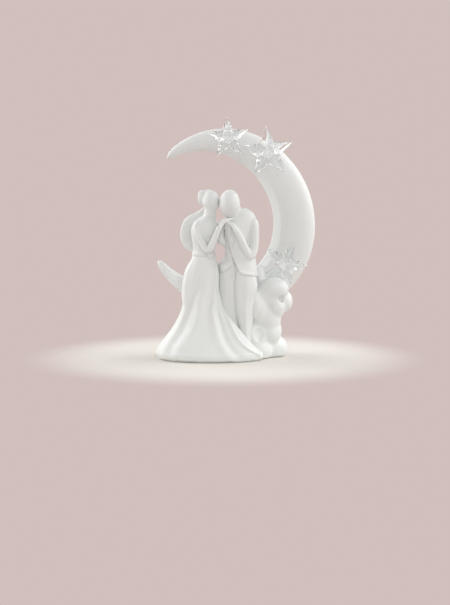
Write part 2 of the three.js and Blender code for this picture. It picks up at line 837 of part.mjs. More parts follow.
// Two limbs that share the station at the elbow: one skin round so sharp a bend folds into itself.
function groomNearArmForm(grow = 0) {
  const upper = stations(groomNearArmShares, groomPoint, sleeveRadius);
  const hand = stations(groomHandShares, fromChin(groomHandLength), sleeveRadius);
  const elbow = upper.reduce((low, { at }, i) => (at.z < upper[low].at.z ? i : low), 0);
  return joined(
    limb(upper.slice(0, elbow + 1), grow, limbSides, 2),
    limb([...upper.slice(elbow), ...hand], grow, limbSides, 2),
  );
}

const brideFarArmForm = (grow = 0) =>
  limb(
    [
      ...stations(brideFarArmShares, bridePoint, brideArmRadius),
      ...stations(farHandOnGroomShares, groomPoint, brideArmRadius),
    ],
    grow,
    limbSides,
    2,
  );

const groomFarArmForm = (grow = 0) =>
  limb(
    [
      ...stations(groomFarArmShares, groomPoint, sleeveRadius),
      ...stations(farHandOnBrideShares, bridePoint, sleeveRadius),
    ],
    grow,
    limbSides,
    2,
  );

// Clouds. The crest of the front bank stays under the middle of the lower star.
const cloudHeight = starPlace(starSpecs.star_lower).z - cloudCrestDrop;

// Middle of each lobe from the foot of the bank in shares of its reach, its reach and its height,
// then its radii in the same shares.
const frontLobeShares = [
  [0.52, -0.37, 0.86, 0.37, 0.28, 0.15],
  [0.8, -0.18, 0.7, 0.19, 0.27, 0.13],
  [0.57, -0.32, 0.65, 0.25, 0.3, 0.16],
  [0.2, -0.44, 0.6, 0.2, 0.27, 0.18],
  [0.42, -0.3, 0.77, 0.42, 0.3, 0.2],
  [0.35, -0.28, 0.5, 0.36, 0.36, 0.22],
  [0.39, -0.16, 0.33, 0.34, 0.44, 0.2],
  [0.34, 0, 0.1, 0.54, 0.42, 0.2],
  [0.1, -0.26, 0.1, 0.42, 0.5, 0.2],
  [0.06, -0.3, 0.26, 0.34, 0.48, 0.22],
  [0.12, -0.1, 0.5, 0.42, 0.42, 0.24],
  [0.1, -0.4, 0.66, 0.22, 0.36, 0.21],
  [0.2, -0.25, 1, 0.14, 0.16, 0.16],
];

const backLobeShares = [
  [0.32, 0.26, 0.68, 0.49, 0.42, 0.21],
  [0.31, 0.34, 0.34, 0.43, 0.46, 0.26],
  [0.34, 0.22, 0.08, 0.52, 0.54, 0.17],
  [-0.4, 0.34, 0.52, 0.56, 0.42, 0.25],
  [-0.35, 0.44, 0.3, 0.64, 0.42, 0.22],
  [-0.35, 0.3, 0.1, 0.68, 0.55, 0.2],
  [-1.15, 0.28, 0.42, 0.48, 0.4, 0.24],
  [-1.15, 0.26, 0.1, 0.58, 0.46, 0.2],
];

const lobeMiddle = ([x, y, z]) =>
  new THREE.Vector3(cloudX + x * cloudReach, moonY + y * cloudReach, z * cloudHeight);

const lobeRadii = ([, , , x, y, z]) => new THREE.Vector3(x * cloudReach, y * cloudReach, z * cloudHeight);

const lobesForm = (shares, grow = 0) =>
  joined(...shares.map((lobe) => egg(lobeMiddle(lobe), lobeRadii(lobe), grow, 0, 12, 7)));

// Sole: the foot of the skirt and of each cloud lobe that comes down to it, drawn in by the inset.
function soleForm(grow = 0) {
  const low = -grow;
  const high = soleThickness + grow;
  const hem = ovalRing({ ...skirtSections[1], z: 0 }, grow - soleInset, 48);
  const feet = [...frontLobeShares, ...backLobeShares].flatMap((lobe) => {
    const [middle, radii] = [lobeMiddle(lobe), lobeRadii(lobe)];
    const rise = (middle.z - hemLift) / radii.z;
    if (rise > 0.9) {
      return [];
    }
    const draw = Math.sqrt(1 - rise * rise);
    const [reachX, reachY] = [radii.x, radii.y].map((radius) => radius * draw - soleInset + grow);
    return [new THREE.EllipseCurve(middle.x, middle.y, reachX, reachY).getPoints(28).slice(0, -1)];
  });
  return joined(...[hem, ...feet].map((outline) => plate(outline, low, high)));
}

const ventForm = () => {
  const [x, y] = ventPlaceShares;
  const run = soleThickness + 2 * cutOverrun;
  const drill = new THREE.CylinderGeometry(ventDiameter / 2, ventDiameter / 2, run, 32).rotateX(Math.PI / 2);
  return solidOf(drill.translate(hemX + x * hemHalfWidth, hemY + y * hemHalfDepth, soleThickness / 2));
};

// Stars: five points, a ridge to each, a valley between each two, on the front and on the back.

function starPlace({ angle, acrossShare, thickness }) {
  const onMoon = moonFront(THREE.MathUtils.degToRad(angle), acrossShare);
  return onMoon.clone().add(new THREE.Vector3(0, -glueThickness - thickness / 2, 0));
}

function starForm(spec, grow = 0) {
  const { radius, thickness, turn, lean } = spec;
  const outline = Array.from({ length: 2 * starPoints }, (_, i) => {
    const reach = (i % 2 === 0 ? radius : radius * starWaistShare) + grow;
    const angle = THREE.MathUtils.degToRad(turn) + (i * Math.PI) / starPoints;
    return [reach * Math.cos(angle), reach * Math.sin(angle)];
  });
  const rim = (depth) => outline.map(([x, z]) => new THREE.Vector3(x, depth, z));
  const peak = (depth) => outline.map(([x, z]) => new THREE.Vector3(x * peakShare, depth, z * peakShare));
  const half = thickness / 2 + grow;
  const flank = starRim / 2 + grow;
  const place = starPlace(spec);
  const turned = (ring) =>
    ring.map((point) =>
      point.applyAxisAngle(new THREE.Vector3(0, 0, 1), THREE.MathUtils.degToRad(lean)).add(place),
    );
  return loft([peak(-half), rim(-flank), rim(flank), peak(half)].map(turned));
}

function glueForm(spec) {
  const place = starPlace(spec);
  const run = spec.thickness / 2 + glueThickness + moonDepth / 4;
  const pad = new THREE.CylinderGeometry(glueRadius, glueRadius, run, 16).translate(0, run / 2, 0);
  return solidOf(pad.translate(place.x, place.y, place.z));
}

// Castings and fittings, each cut clear of the ones that it is luted or glued to

const ground = groundUnder(hemLift);
const sole = cutBy(soleForm(), ventForm());
const moonCut = moonForm(luteGap);
const soleCut = soleForm(luteGap);
const skirtCut = skirtForm(luteGap);
const legCuts = [leftLegForm(luteGap), rightLegForm(luteGap)];
const bodiceCut = bodiceForm(luteGap);
const jacketCut = jacketForm(luteGap);
const brideHeadCut = brideHeadForm(luteGap);
const groomHeadCut = groomHeadForm(luteGap);
const brideArmCut = brideNearArmForm(luteGap);

// The two cloud banks part at the middle of the moon.
function partingBlock(middleY) {
  const block = new THREE.BoxGeometry(6 * cloudReach, 2 * cloudReach, 3 * cloudHeight);
  return solidOf(block.translate(cloudX, middleY, cloudHeight));
}

const backHalf = partingBlock(moonY - luteGap / 2 + cloudReach);
const frontHalf = partingBlock(moonY + luteGap / 2 - cloudReach);

const castings = {
  base_plate: sole,
  moon: moonForm(),
  bride_skirt: cutBy(skirtForm(), skirtHollow(), soleCut, moonCut, ground),
  groom_left_leg: cutBy(leftLegForm(), skirtCut, moonCut, rightLegForm(luteGap)),
  groom_right_leg: cutBy(rightLegForm(), skirtCut, moonCut, soleCut),
  cloud_front: cutBy(
    lobesForm(frontLobeShares),
    backHalf,
    moonCut,
    skirtCut,
    ...legCuts,
    jacketCut,
    soleCut,
    starForm(starSpecs.star_lower, luteGap),
    ground,
  ),
  cloud_back: cutBy(lobesForm(backLobeShares), frontHalf, moonCut, skirtCut, ...legCuts, soleCut, ground),
  bride_bodice: cutBy(bodiceForm(), skirtCut, brideHeadCut),
  groom_jacket: cutBy(
    jacketForm(),
    notchForm(),
    ...legCuts,
    moonCut,
    skirtCut,
    groomHeadCut,
    brideHeadCut,
    bodiceCut,
  ),
  bride_head: cutBy(brideHeadForm(), groomHeadCut),
  groom_head: groomHeadForm(),
  bride_hair_bun: cutBy(bunForm(), brideHeadCut),
  bride_near_arm: cutBy(brideNearArmForm(), bodiceCut, jacketCut, groomHeadCut),
  groom_near_arm: cutBy(groomNearArmForm(), jacketCut, brideArmCut, groomHeadCut),
  groom_far_arm: cutBy(groomFarArmForm(), jacketCut, bodiceCut, brideHeadCut),
  bride_far_arm: cutBy(brideFarArmForm(), bodiceCut, jacketCut, groomFarArmForm(luteGap)),
  bride_veil: cutBy(
    veilForm(),
    bodiceCut,
    brideHeadCut,
    groomFarArmForm(luteGap),
    bunForm(luteGap),
    skirtCut,
  ),
};

const group = new THREE.Group();

function place(name, solid, look) {
  const mesh = new THREE.Mesh(geometryOf(mainBody(solid)), new THREE.MeshStandardMaterial(look));
  mesh.name = name;
  group.add(mesh);
}

for (const [name, solid] of Object.entries(castings)) {
  place(name, mainBody(solid).simplify(seamTidy), alabaster);
}
for (const [name, spec] of Object.entries(starSpecs)) {
  place(name, starForm(spec), clearAcrylic);
  place('glue_' + name, cutBy(glueForm(spec), starForm(spec, luteGap), moonCut), clearGlue);
}

export default group;
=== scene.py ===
"""Looks of a bisque porcelain cake topper: a couple before a crescent moon in a cloud bank, with clear stars."""

import logging
import math
from collections.abc import Callable, Sequence
from dataclasses import dataclass, field
from enum import Enum

import bmesh
import bpy
from mathutils import Matrix, Vector


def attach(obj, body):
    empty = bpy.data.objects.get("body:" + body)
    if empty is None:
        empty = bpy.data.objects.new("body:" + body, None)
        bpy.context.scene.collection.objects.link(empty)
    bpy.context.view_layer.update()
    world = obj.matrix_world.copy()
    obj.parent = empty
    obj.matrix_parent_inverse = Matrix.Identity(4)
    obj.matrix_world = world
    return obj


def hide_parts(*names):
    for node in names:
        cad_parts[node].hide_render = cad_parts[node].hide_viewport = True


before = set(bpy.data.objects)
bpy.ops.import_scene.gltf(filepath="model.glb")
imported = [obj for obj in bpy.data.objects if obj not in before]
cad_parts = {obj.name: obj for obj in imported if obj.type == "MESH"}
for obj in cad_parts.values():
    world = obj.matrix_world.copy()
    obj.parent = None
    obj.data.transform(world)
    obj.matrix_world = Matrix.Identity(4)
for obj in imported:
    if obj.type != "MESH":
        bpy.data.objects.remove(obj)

log = logging.getLogger("cake_topper")

MM = 0.001
BODY = "root"

# Lengths in millimetres below which points and edges of a form count as one.
SAME_POINT, NO_LENGTH = 1e-4, 1e-5
SAME_POINT_AFTER_CUT, NO_LENGTH_AFTER_CUT = 2e-3, 1e-3
LEAST_HALF = 0.2  # least half width of an oval section, in millimetres

Surface = Callable[[float, float], Vector]
Shares = Sequence[float]
Rows = tuple[tuple[float, ...], ...]


class Slot(Enum):
    """Material slots of the record."""

    PORCELAIN = "porcelain"
    ACRYLIC = "clear_acrylic"
    GLUE = "clear_glue"


class Carve(Enum):
    """Ways in which one closed form meets another."""

    CUT = "DIFFERENCE"
    KEEP = "INTERSECT"


# Curves and profiles


class Profile:
    """Smooth run through rows of numbers, the first of each row being its place, without overshoot."""

    def __init__(self, rows: Sequence[Sequence[float]]) -> None:
        """Takes the rows and works out the slope of each column at each row.

        Args:
            rows: Rows of numbers with rising first numbers.
        """
        self.rows = [tuple(float(x) for x in row) for row in rows]
        self.slopes = [self._slope(i) for i in range(len(self.rows))]

    def _slope(self, i: int) -> tuple[float, ...]:
        """Slopes of the columns at a row, held flat where a column turns round.

        Args:
            i: Which row.

        Returns:
            One slope for each column after the first.
        """
        if i in (0, len(self.rows) - 1):
            j = min(i, len(self.rows) - 2)
            low, high = self.rows[j], self.rows[j + 1]
            return tuple((b - a) / (high[0] - low[0]) for a, b in zip(low[1:], high[1:]))
        before, here, after = self.rows[i - 1 : i + 2]
        found = []
        for a, b, c in zip(before[1:], here[1:], after[1:]):
            left, right = (b - a) / (here[0] - before[0]), (c - b) / (after[0] - here[0])
            found.append(0.0 if left * right <= 0 else 2 * left * right / (left + right))
        return tuple(found)

    def at(self, place: float) -> list[float]:
        """Numbers of the columns at a place.

        Args:
            place: A number in the range of the first column.

        Returns:
            One number for each column after the first.
        """
        place = min(max(place, self.rows[0][0]), self.rows[-1][0])
        i = next((k for k in range(len(self.rows) - 2) if place < self.rows[k + 1][0]), len(self.rows) - 2)
        low, high = self.rows[i], self.rows[i + 1]
        run = high[0] - low[0]
        t = (place - low[0]) / run
        ease, rest = t * t * (3 - 2 * t), t * (1 - t) * run
        return [
            a + (b - a) * ease + rest * (m * (1 - t) - n * t)
            for a, b, m, n in zip(low[1:], high[1:], self.slopes[i], self.slopes[i + 1])
        ]


class Path:
    """Centripetal curve through points, as a modeller bends a rod through them."""

    LEAST_STEP = 1e-4
    REACH = 1e-3

    def __init__(self, points: Sequence[Vector], closed: bool = False) -> None:
        """Takes the points that the curve passes through.

        Args:
            points: At least two points.
            closed: Whether the curve comes back to its first point.
        """
        self.points = [Vector(p) for p in points]
        self.closed = closed

    def _corner(self, i: int) -> Vector:
        """A point of the path, or the one that a free end reflects to.

        Args:
            i: Which point; it may lie one before the first or one after the last.

        Returns:
            The point.
        """
        count = len(self.points)
        if self.closed:
            return self.points[i % count]
        if i < 0:
            return 2 * self.points[0] - self.points[1]
        if i >= count:
            return 2 * self.points[-1] - self.points[-2]
        return self.points[i]

    def at(self, t: float) -> Vector:
        """Point on the curve.

        Args:
            t: Share of the way along, from 0 to 1.

        Returns:
            The point.
        """
        spans = len(self.points) if self.closed else len(self.points) - 1
        place = min(max(t, 0.0), 1.0) * spans
        i = min(int(place), spans - 1)
        a, b, c, d = (self._corner(i + k) for k in (-1, 0, 1, 2))
        steps = [max((q - p).length_squared ** 0.25, self.LEAST_STEP) for p, q in ((a, b), (b, c), (c, d))]
        first = ((b - a) / steps[0] - (c - a) / (steps[0] + steps[1]) + (c - b) / steps[1]) * steps[1]
        last = ((c - b) / steps[1] - (d - b) / (steps[1] + steps[2]) + (d - c) / steps[2]) * steps[1]
        w = place - i
        cubic = 2 * b - 2 * c + first + last
        square = -3 * b + 3 * c - 2 * first - last
        return b + first * w + square * w**2 + cubic * w**3

    def along(self, t: float) -> Vector:
        """Direction of the curve at a share of the way."""
        return (self.at(t + self.REACH) - self.at(t - self.REACH)).normalized()


# Closed forms, in millimetres until a piece is finished


class Form:
    """One closed mesh in the making."""

    def __init__(self, mesh: bpy.types.Mesh) -> None:
        """Takes a mesh as it is.

        Args:
            mesh: A closed mesh in millimetres.
        """
        self.mesh = mesh

    @classmethod
    def of(cls, bm: bmesh.types.BMesh) -> "Form":
        """Closes a bmesh into a form: doubles merged, faces outwards.

        Args:
            bm: The bmesh, which is used up.

        Returns:
            The form.
        """
        bmesh.ops.remove_doubles(bm, verts=bm.verts, dist=SAME_POINT)
        bmesh.ops.dissolve_degenerate(bm, dist=NO_LENGTH, edges=bm.edges)
        bmesh.ops.recalc_face_normals(bm, faces=bm.faces)
        mesh = bpy.data.meshes.new("form")
        bm.to_mesh(mesh)
        bm.free()
        return cls(mesh)

    @classmethod
    def wrap(cls, surface: Surface, around: int, along: int) -> "Form":
        """Wraps a grid round a closed surface whose first and last rows each draw in to one point.

        Args:
            surface: Point for a share of the way round and a share of the way along.
            around: Faces round the form.
            along: Faces along it.

        Returns:
            The form.
        """
        bm = bmesh.new()
        bmesh.ops.create_grid(bm, x_segments=around, y_segments=along, size=1)
        for vert in bm.verts:
            vert.co = surface((vert.co.x + 1) / 2 % 1.0, (vert.co.y + 1) / 2)
        return cls.of(bm)

    @classmethod
    def egg(cls, middle: Vector, radii: Vector, chin: float = 0.0, fine: int = 48) -> "Form":
        """Ball drawn out to three radii, its lower half narrowed to a chin.

        Args:
            middle: Middle of the ball.
            radii: Half sizes along X, Y and Z.
            chin: Share by which the lowest part narrows.
            fine: Faces round the ball.

        Returns:
            The form.
        """
        bm = bmesh.new()
        bmesh.ops.create_uvsphere(bm, u_segments=fine, v_segments=fine * 2 // 3, radius=1)
        for vert in bm.verts:
            draw = 1 - chin * max(-vert.co.z, 0) ** 2
            vert.co = Vector((vert.co.x * draw, vert.co.y * draw, vert.co.z))
        bmesh.ops.transform(bm, matrix=Matrix.Translation(middle) @ Matrix.Diagonal((*radii, 1)), verts=bm.verts)
        return cls.of(bm)

    @classmethod
    def box(cls, low: Vector, high: Vector) -> "Form":
        """Block between two corners, used only as a cutter.

        Args:
            low: Its lowest corner.
            high: Its highest corner.

        Returns:
            The form.
        """
        bm = bmesh.new()
        bmesh.ops.create_cube(bm, size=1)
        size = high - low
        bmesh.ops.transform(
            bm, matrix=Matrix.Translation((low + high) / 2) @ Matrix.Diagonal((*size, 1)), verts=bm.verts
        )
        return cls.of(bm)

    @classmethod
    def fused(cls, forms: Sequence["Form"], voxel: float, passes: int) -> "Form":
        """Melts forms into one, with soft fillets where they meet, as slip fills a mould.

        Args:
            forms: Closed forms that overlap.
            voxel: Grain of the remesh in millimetres.
            passes: Rounds of smoothing.

        Returns:
            The melted form.
        """
        bm = bmesh.new()
        for form in forms:
            bm.from_mesh(form.mesh)
        rough = bpy.data.meshes.new("rough")
        bm.to_mesh(rough)
        bm.free()
        thing = bpy.data.objects.new("rough", rough)
        bpy.context.scene.collection.objects.link(thing)
        remesh = thing.modifiers.new("melt", "REMESH")
        remesh.mode = "VOXEL"
        remesh.voxel_size = voxel
        melted = cls(_evaluated(thing))
        bpy.data.objects.remove(thing)
        return melted.softened(passes)

    def softened(self, passes: int, factor: float = 0.5) -> "Form":
        """Rubs the surface down.

        Args:
            passes: Rounds of smoothing.
            factor: How far a point moves to the mean of its neighbours each round.

        Returns:
            The form itself.
        """
        bm = bmesh.new()
        bm.from_mesh(self.mesh)
        for _ in range(passes):
            bmesh.ops.smooth_vert(
                bm, verts=bm.verts, factor=factor, use_axis_x=True, use_axis_y=True, use_axis_z=True
            )
        bm.to_mesh(self.mesh)
        bm.free()
        return self

    def moved(self, place: Callable[[Vector], Vector]) -> "Form":
        """Moves each point of the surface by hand.

        Args:
            place: New place of a point.

        Returns:
            The form itself.
        """
        for vert in self.mesh.vertices:
            vert.co = place(vert.co.copy())
        return self

    def carved(self, how: Carve, *tools: "Form") -> "Form":
        """Cuts other closed forms away, or keeps only what lies in them.

        Args:
            how: What happens where they overlap.
            *tools: The other forms, taken one after another.

        Returns:
            A new form.
        """
        mesh = self.mesh
        for tool in tools:
            thing = bpy.data.objects.new("carved", mesh)
            other = bpy.data.objects.new("tool", tool.mesh)
            for each in (thing, other):
                bpy.context.scene.collection.objects.link(each)
            step = thing.modifiers.new("carve", "BOOLEAN")
            step.operation = how.value
            step.solver = "MANIFOLD"
            step.object = other
            mesh = _evaluated(thing)
            for each in (thing, other):
                bpy.data.objects.remove(each)
        return Form(mesh)

    def cut(self, *tools: "Form") -> "Form":
        """The form without what lies in the tools."""
        return self.carved(Carve.CUT, *tools)

    def kept(self, *tools: "Form") -> "Form":
        """What of the form lies in every tool."""
        return self.carved(Carve.KEEP, *tools)

    def main_body(self) -> "Form":
        """The form without the crumbs that a cut leaves behind.

        Returns:
            A form of one connected body.
        """
        bm = bmesh.new()
        bm.from_mesh(self.mesh)
        left, bodies = set(bm.verts), []
        while left:
            seed = left.pop()
            body, edge = {seed}, [seed]
            while edge:
                near = {e.other_vert(v) for v in edge for e in v.link_edges} & left
                left -= near
                body |= near
                edge = list(near)
            bodies.append(body)
        bodies.sort(key=len)
        crumbs = [v for body in bodies[:-1] for v in body]
        bmesh.ops.delete(bm, geom=crumbs, context="VERTS")
        bmesh.ops.remove_doubles(bm, verts=bm.verts, dist=SAME_POINT_AFTER_CUT)
        bmesh.ops.dissolve_degenerate(bm, dist=NO_LENGTH_AFTER_CUT, edges=bm.edges)
        mesh = bpy.data.meshes.new("body")
        bm.to_mesh(mesh)
        bm.free()
        return Form(mesh)

    def piece(
        self, name: str, node: str, slot: Slot, material: bpy.types.Material, crease: float = 42
    ) -> bpy.types.Object:
        """Finishes the form as a visible piece in metres that stands for a CAD node.

        Args:
            name: Name of the piece.
            node: CAD node that it stands for.
            slot: The record's slot of its finish; not used.
            material: Its material.
            crease: Angle in degrees above which an edge shows as a crease.

        Returns:
            The object.
        """
        self.mesh.transform(Matrix.Scale(MM, 4))
        self.mesh.name = name
        self.mesh.materials.clear()
        self.mesh.materials.append(material)
        self.mesh.shade_smooth()
        self.mesh.set_sharp_from_angle(angle=math.radians(crease))
        thing = bpy.data.objects.new(name, self.mesh)
        bpy.context.scene.collection.objects.link(thing)
        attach(thing, BODY)
        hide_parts(node)
        log.info("%s: %d faces, stands for %s", name, len(self.mesh.polygons), node)
        return thing


def _evaluated(thing: bpy.types.Object) -> bpy.types.Mesh:
    """Applies an object's modifiers.

    Args:
        thing: The object, which is left as it is.

    Returns:
        Its mesh with the modifiers applied.
    """
    graph = bpy.context.evaluated_depsgraph_get()
    graph.update()
    return bpy.data.meshes.new_from_object(thing.evaluated_get(graph))


@dataclass(frozen=True)
class Oval:
    """Stack of oval sections: rows of height, left, right, front, back, and where the right edge lies in depth."""

    rows: Rows
    around: int = 64
    along: int = 48

    def form(self, grow: float = 0.0, ridge: Callable[[float, float], float] | None = None) -> Form:
        """Lofts the sections.

        Args:
            grow: How much further out the skin lies.
            ridge: Extra height of the skin for an angle in degrees and a height.

        Returns:
            The form.
        """
        profile = Profile(self.rows)
        low, high = self.rows[0][0], self.rows[-1][0]
        steps = self.along

        def point(u: float, v: float) -> Vector:
            """Point of the skin, whose first and last rows close the ends.

            Args:
                u: Share of the way round.
                v: Share of the way up.

            Returns:
                The point.
            """
            i = round(v * (steps + 2))
            share = 0.0 if i in (0, steps + 2) else 1.0
            t = min(max((i - 1) / steps, 0.0), 1.0)
            z = low + (high - low) * t
            left, right, front, back, right_y = profile.at(z)
            angle = 2 * math.pi * u
            side_y = right_y if math.cos(angle) > 0 else (front + back) / 2
            half_width = (right - left) / 2
            half_depth = side_y - front if math.sin(angle) > 0 else back - side_y
            out = grow + (ridge(math.degrees(angle), z) if ridge else 0.0)
            end = -grow if i <= 1 else grow if i >= steps + 1 else 0.0
            return Vector(
                (
                    (left + right) / 2 + share * max(half_width + out, LEAST_HALF) * math.cos(angle),
                    side_y - share * max(half_depth + out, LEAST_HALF) * math.sin(angle),
                    z + end,
                )
            )

        return Form.wrap(point, self.around, steps + 2)


@dataclass(frozen=True)
class Station:
    """Place on a limb: its middle, its radius, and how flat it is in depth."""

    at: Vector
    radius: float
    flat: float = 1.0


@dataclass(frozen=True)
class Limb:
    """Rounded limb through stations."""

    stations: tuple[Station, ...]
    around: int = 28
    steps: int = 10
    cap: int = 6

    def form(self, grow: float = 0.0) -> Form:
        """Skins the limb, with a round cap at each end.

        Args:
            grow: How much further out the skin lies.

        Returns:
            The form.
        """
        path = Path([s.at for s in self.stations])
        spans = len(self.stations) - 1
        girth = Profile([(i, s.radius, s.flat) for i, s in enumerate(self.stations)])
        body = spans * self.steps
        rows = body + 2 * self.cap

        def point(u: float, v: float) -> Vector:
            """Point of the skin, round caps included.

            Args:
                u: Share of the way round.
                v: Share of the way along.

            Returns:
                The point.
            """
            i = round(v * rows)
            t = min(max((i - self.cap) / body, 0.0), 1.0)
            turn = min(i, rows - i, self.cap) / self.cap * math.pi / 2
            slide = math.cos(turn) * (-1 if i < self.cap else 1)
            along = path.along(t)
            side = along.cross(Vector((0, 1, 0))).normalized()
            depth = side.cross(along).normalized()
            radius, flat = girth.at(t * spans)
            share = math.sin(turn)
            angle = 2 * math.pi * u
            return (
                path.at(t)
                + along * slide * (radius + grow)
                + side * math.cos(angle) * (radius + grow) * share
                + depth * math.sin(angle) * (radius * flat + grow) * share
            )

        return Form.wrap(point, self.around, rows)


def gauss(x: float, spread: float) -> float:
    """Bell curve of height 1."""
    return math.exp(-((x / spread) ** 2))


def blend(a: float, b: float, share: float) -> float:
    """Number a share of the way from a to b."""
    return a + (b - a) * share


def sections(foot: Sequence[float], half: tuple[float, float], tall: float, rows: Sequence[Shares]) -> Rows:
    """Sections of an upright form from rows of shares.

    Args:
        foot: Middle of its foot.
        half: Half width and half depth.
        tall: Height above the foot at which a height share is 1.
        rows: Height, left, right, front and back.

    Returns:
        Rows as an oval stack takes them.
    """
    x, y, z = foot
    w, d = half
    return tuple(
        (z + h * tall, x - left * w, x + right * w, y - front * d, y + back * d, y + (back - front) / 2 * d)
        for h, left, right, front, back in rows
    )


# Finishes


class Groups:
    """Shader node groups that the finishes share."""

    FINE_SHARE = 0.35  # height of the fine grain against the broad one
    EDGE_OR_HOLLOW_REACH = 0.1  # how far beyond its threshold a mask of raised edges or hollows is full; the masks carry painted highlight and shade on the porcelain and edge wear on the acrylic
    SCRATCH = (0.66, 0.72)  # noise between which a scratch fades in
    STRETCH, SLANT = (1.0, 1.0, 9.0), (0.4, 0.2, 0.7)  # how the scratches are drawn out and turned

    @staticmethod
    def _new(name: str, inputs: dict[str, float], outputs: Sequence[str]) -> bpy.types.NodeTree:
        """Starts a group with plain number sockets.

        Args:
            name: Name of the group.
            inputs: Labels of its inputs with their values.
            outputs: Labels of its outputs.

        Returns:
            The group's tree.
        """
        tree = bpy.data.node_groups.new(name, "ShaderNodeTree")
        for label, value in inputs.items():
            tree.interface.new_socket(label, in_out="INPUT", socket_type="NodeSocketFloat").default_value = value
        for label in outputs:
            tree.interface.new_socket(label, in_out="OUTPUT", socket_type="NodeSocketFloat")
        return tree

    @classmethod
    def grain(cls) -> bpy.types.NodeTree:
        """Fine bisque grain over a soft unevenness of the cast.

        Returns:
            A group with a height and a slow mottle from 0 to 1.
        """
        tree = cls._new("bisque_grain", {"Fine Scale": 2600.0, "Broad Scale": 90.0}, ("Height", "Mottle"))
        nodes, links = tree.nodes, tree.links
        start, end = nodes.new("NodeGroupInput"), nodes.new("NodeGroupOutput")
        where = nodes.new("ShaderNodeTexCoord")
        fine, broad = nodes.new("ShaderNodeTexNoise"), nodes.new("ShaderNodeTexNoise")
        fine.inputs["Detail"].default_value = 3
        broad.inputs["Detail"].default_value = 4
        broad.inputs["Roughness"].default_value = 0.55
        for noise, label in ((fine, "Fine Scale"), (broad, "Broad Scale")):
            links.new(where.outputs["Object"], noise.inputs["Vector"])
            links.new(start.outputs[label], noise.inputs["Scale"])
        mix = nodes.new("ShaderNodeMath")
        mix.operation = "MULTIPLY_ADD"
        mix.inputs[1].default_value = cls.FINE_SHARE
        links.new(fine.outputs["Fac"], mix.inputs[0])
        links.new(broad.outputs["Fac"], mix.inputs[2])
        links.new(mix.outputs[0], end.inputs["Height"])
        links.new(broad.outputs["Fac"], end.inputs["Mottle"])
        return tree

    @classmethod
    def rub(cls) -> bpy.types.NodeTree:
        """Masks of raised edges and of hollows, by how pointed the surface is.

        The porcelain paints a highlight on the raised edges and shade in the hollows with them; the acrylic's
        raised edges are worn rougher.

        Returns:
            A group with two masks from 0 to 1.
        """
        tree = cls._new("edge_rub", {"Edge": 0.55, "Hollow": 0.45}, ("Raised", "Hollow"))
        nodes, links = tree.nodes, tree.links
        start, end = nodes.new("NodeGroupInput"), nodes.new("NodeGroupOutput")
        shape = nodes.new("ShaderNodeNewGeometry")
        for label, far, out in (("Edge", cls.EDGE_OR_HOLLOW_REACH, "Raised"), ("Hollow", -cls.EDGE_OR_HOLLOW_REACH, "Hollow")):
            reach = nodes.new("ShaderNodeMath")
            reach.inputs[1].default_value = far
            links.new(start.outputs[label], reach.inputs[0])
            step = nodes.new("ShaderNodeMapRange")
            step.interpolation_type = "SMOOTHSTEP"
            links.new(shape.outputs["Pointiness"], step.inputs["Value"])
            links.new(start.outputs[label], step.inputs["From Min"])
            links.new(reach.outputs[0], step.inputs["From Max"])
            links.new(step.outputs["Result"], end.inputs[out])
        return tree

    @classmethod
    def scuff(cls) -> bpy.types.NodeTree:
        """Hair scratches and the faint flow of moulded plastic.

        Returns:
            A group with a height and a scratch mask.
        """
        tree = cls._new("plastic_scuff", {"Scale": 300.0}, ("Height", "Scratch"))
        nodes, links = tree.nodes, tree.links
        start, end = nodes.new("NodeGroupInput"), nodes.new("NodeGroupOutput")
        where = nodes.new("ShaderNodeTexCoord")
        stretch = nodes.new("ShaderNodeMapping")
        stretch.inputs["Scale"].default_value = cls.STRETCH
        stretch.inputs["Rotation"].default_value = cls.SLANT
        hair, flow = nodes.new("ShaderNodeTexNoise"), nodes.new("ShaderNodeTexNoise")
        hair.inputs["Detail"].default_value = 2
        flow.inputs["Scale"].default_value = 120
        links.new(where.outputs["Object"], stretch.inputs["Vector"])
        links.new(stretch.outputs["Vector"], hair.inputs["Vector"])
        links.new(where.outputs["Object"], flow.inputs["Vector"])
        links.new(start.outputs["Scale"], hair.inputs["Scale"])
        step = nodes.new("ShaderNodeMapRange")
        step.inputs["From Min"].default_value, step.inputs["From Max"].default_value = cls.SCRATCH
        links.new(hair.outputs["Fac"], step.inputs["Value"])
        links.new(flow.outputs["Fac"], end.inputs["Height"])
        links.new(step.outputs["Result"], end.inputs["Scratch"])
        return tree


class Finish:
    """A material under one name, made once."""

    name = "finish"

    def material(self) -> bpy.types.Material:
        """The material, built at its first use."""
        found = bpy.data.materials.get(self.name)
        return found or self._build()

    def _build(self) -> bpy.types.Material:
        """Builds the nodes."""
        raise NotImplementedError

    def _start(self) -> tuple[bpy.types.Material, bpy.types.Nodes, bpy.types.NodeLinks, bpy.types.Node]:
        """An empty material with its shader.

        Returns:
            The material, its nodes, its links and its shader.
        """
        material = bpy.data.materials.new(self.name)
        material.use_nodes = True
        nodes = material.node_tree.nodes
        shader = next(n for n in nodes if n.type == "BSDF_PRINCIPLED")
        return material, nodes, material.node_tree.links, shader

    @staticmethod
    def _group(nodes: bpy.types.Nodes, tree: bpy.types.NodeTree, **values: float) -> bpy.types.Node:
        """Places a shared group with its own values.

        Args:
            nodes: Nodes of the material.
            tree: The shared group.
            **values: Values of its inputs, with low lines for blanks in their labels.

        Returns:
            The group's node.
        """
        node = nodes.new("ShaderNodeGroup")
        node.node_tree = tree
        for label, value in values.items():
            node.inputs[label.replace("_", " ")].default_value = value
        return node


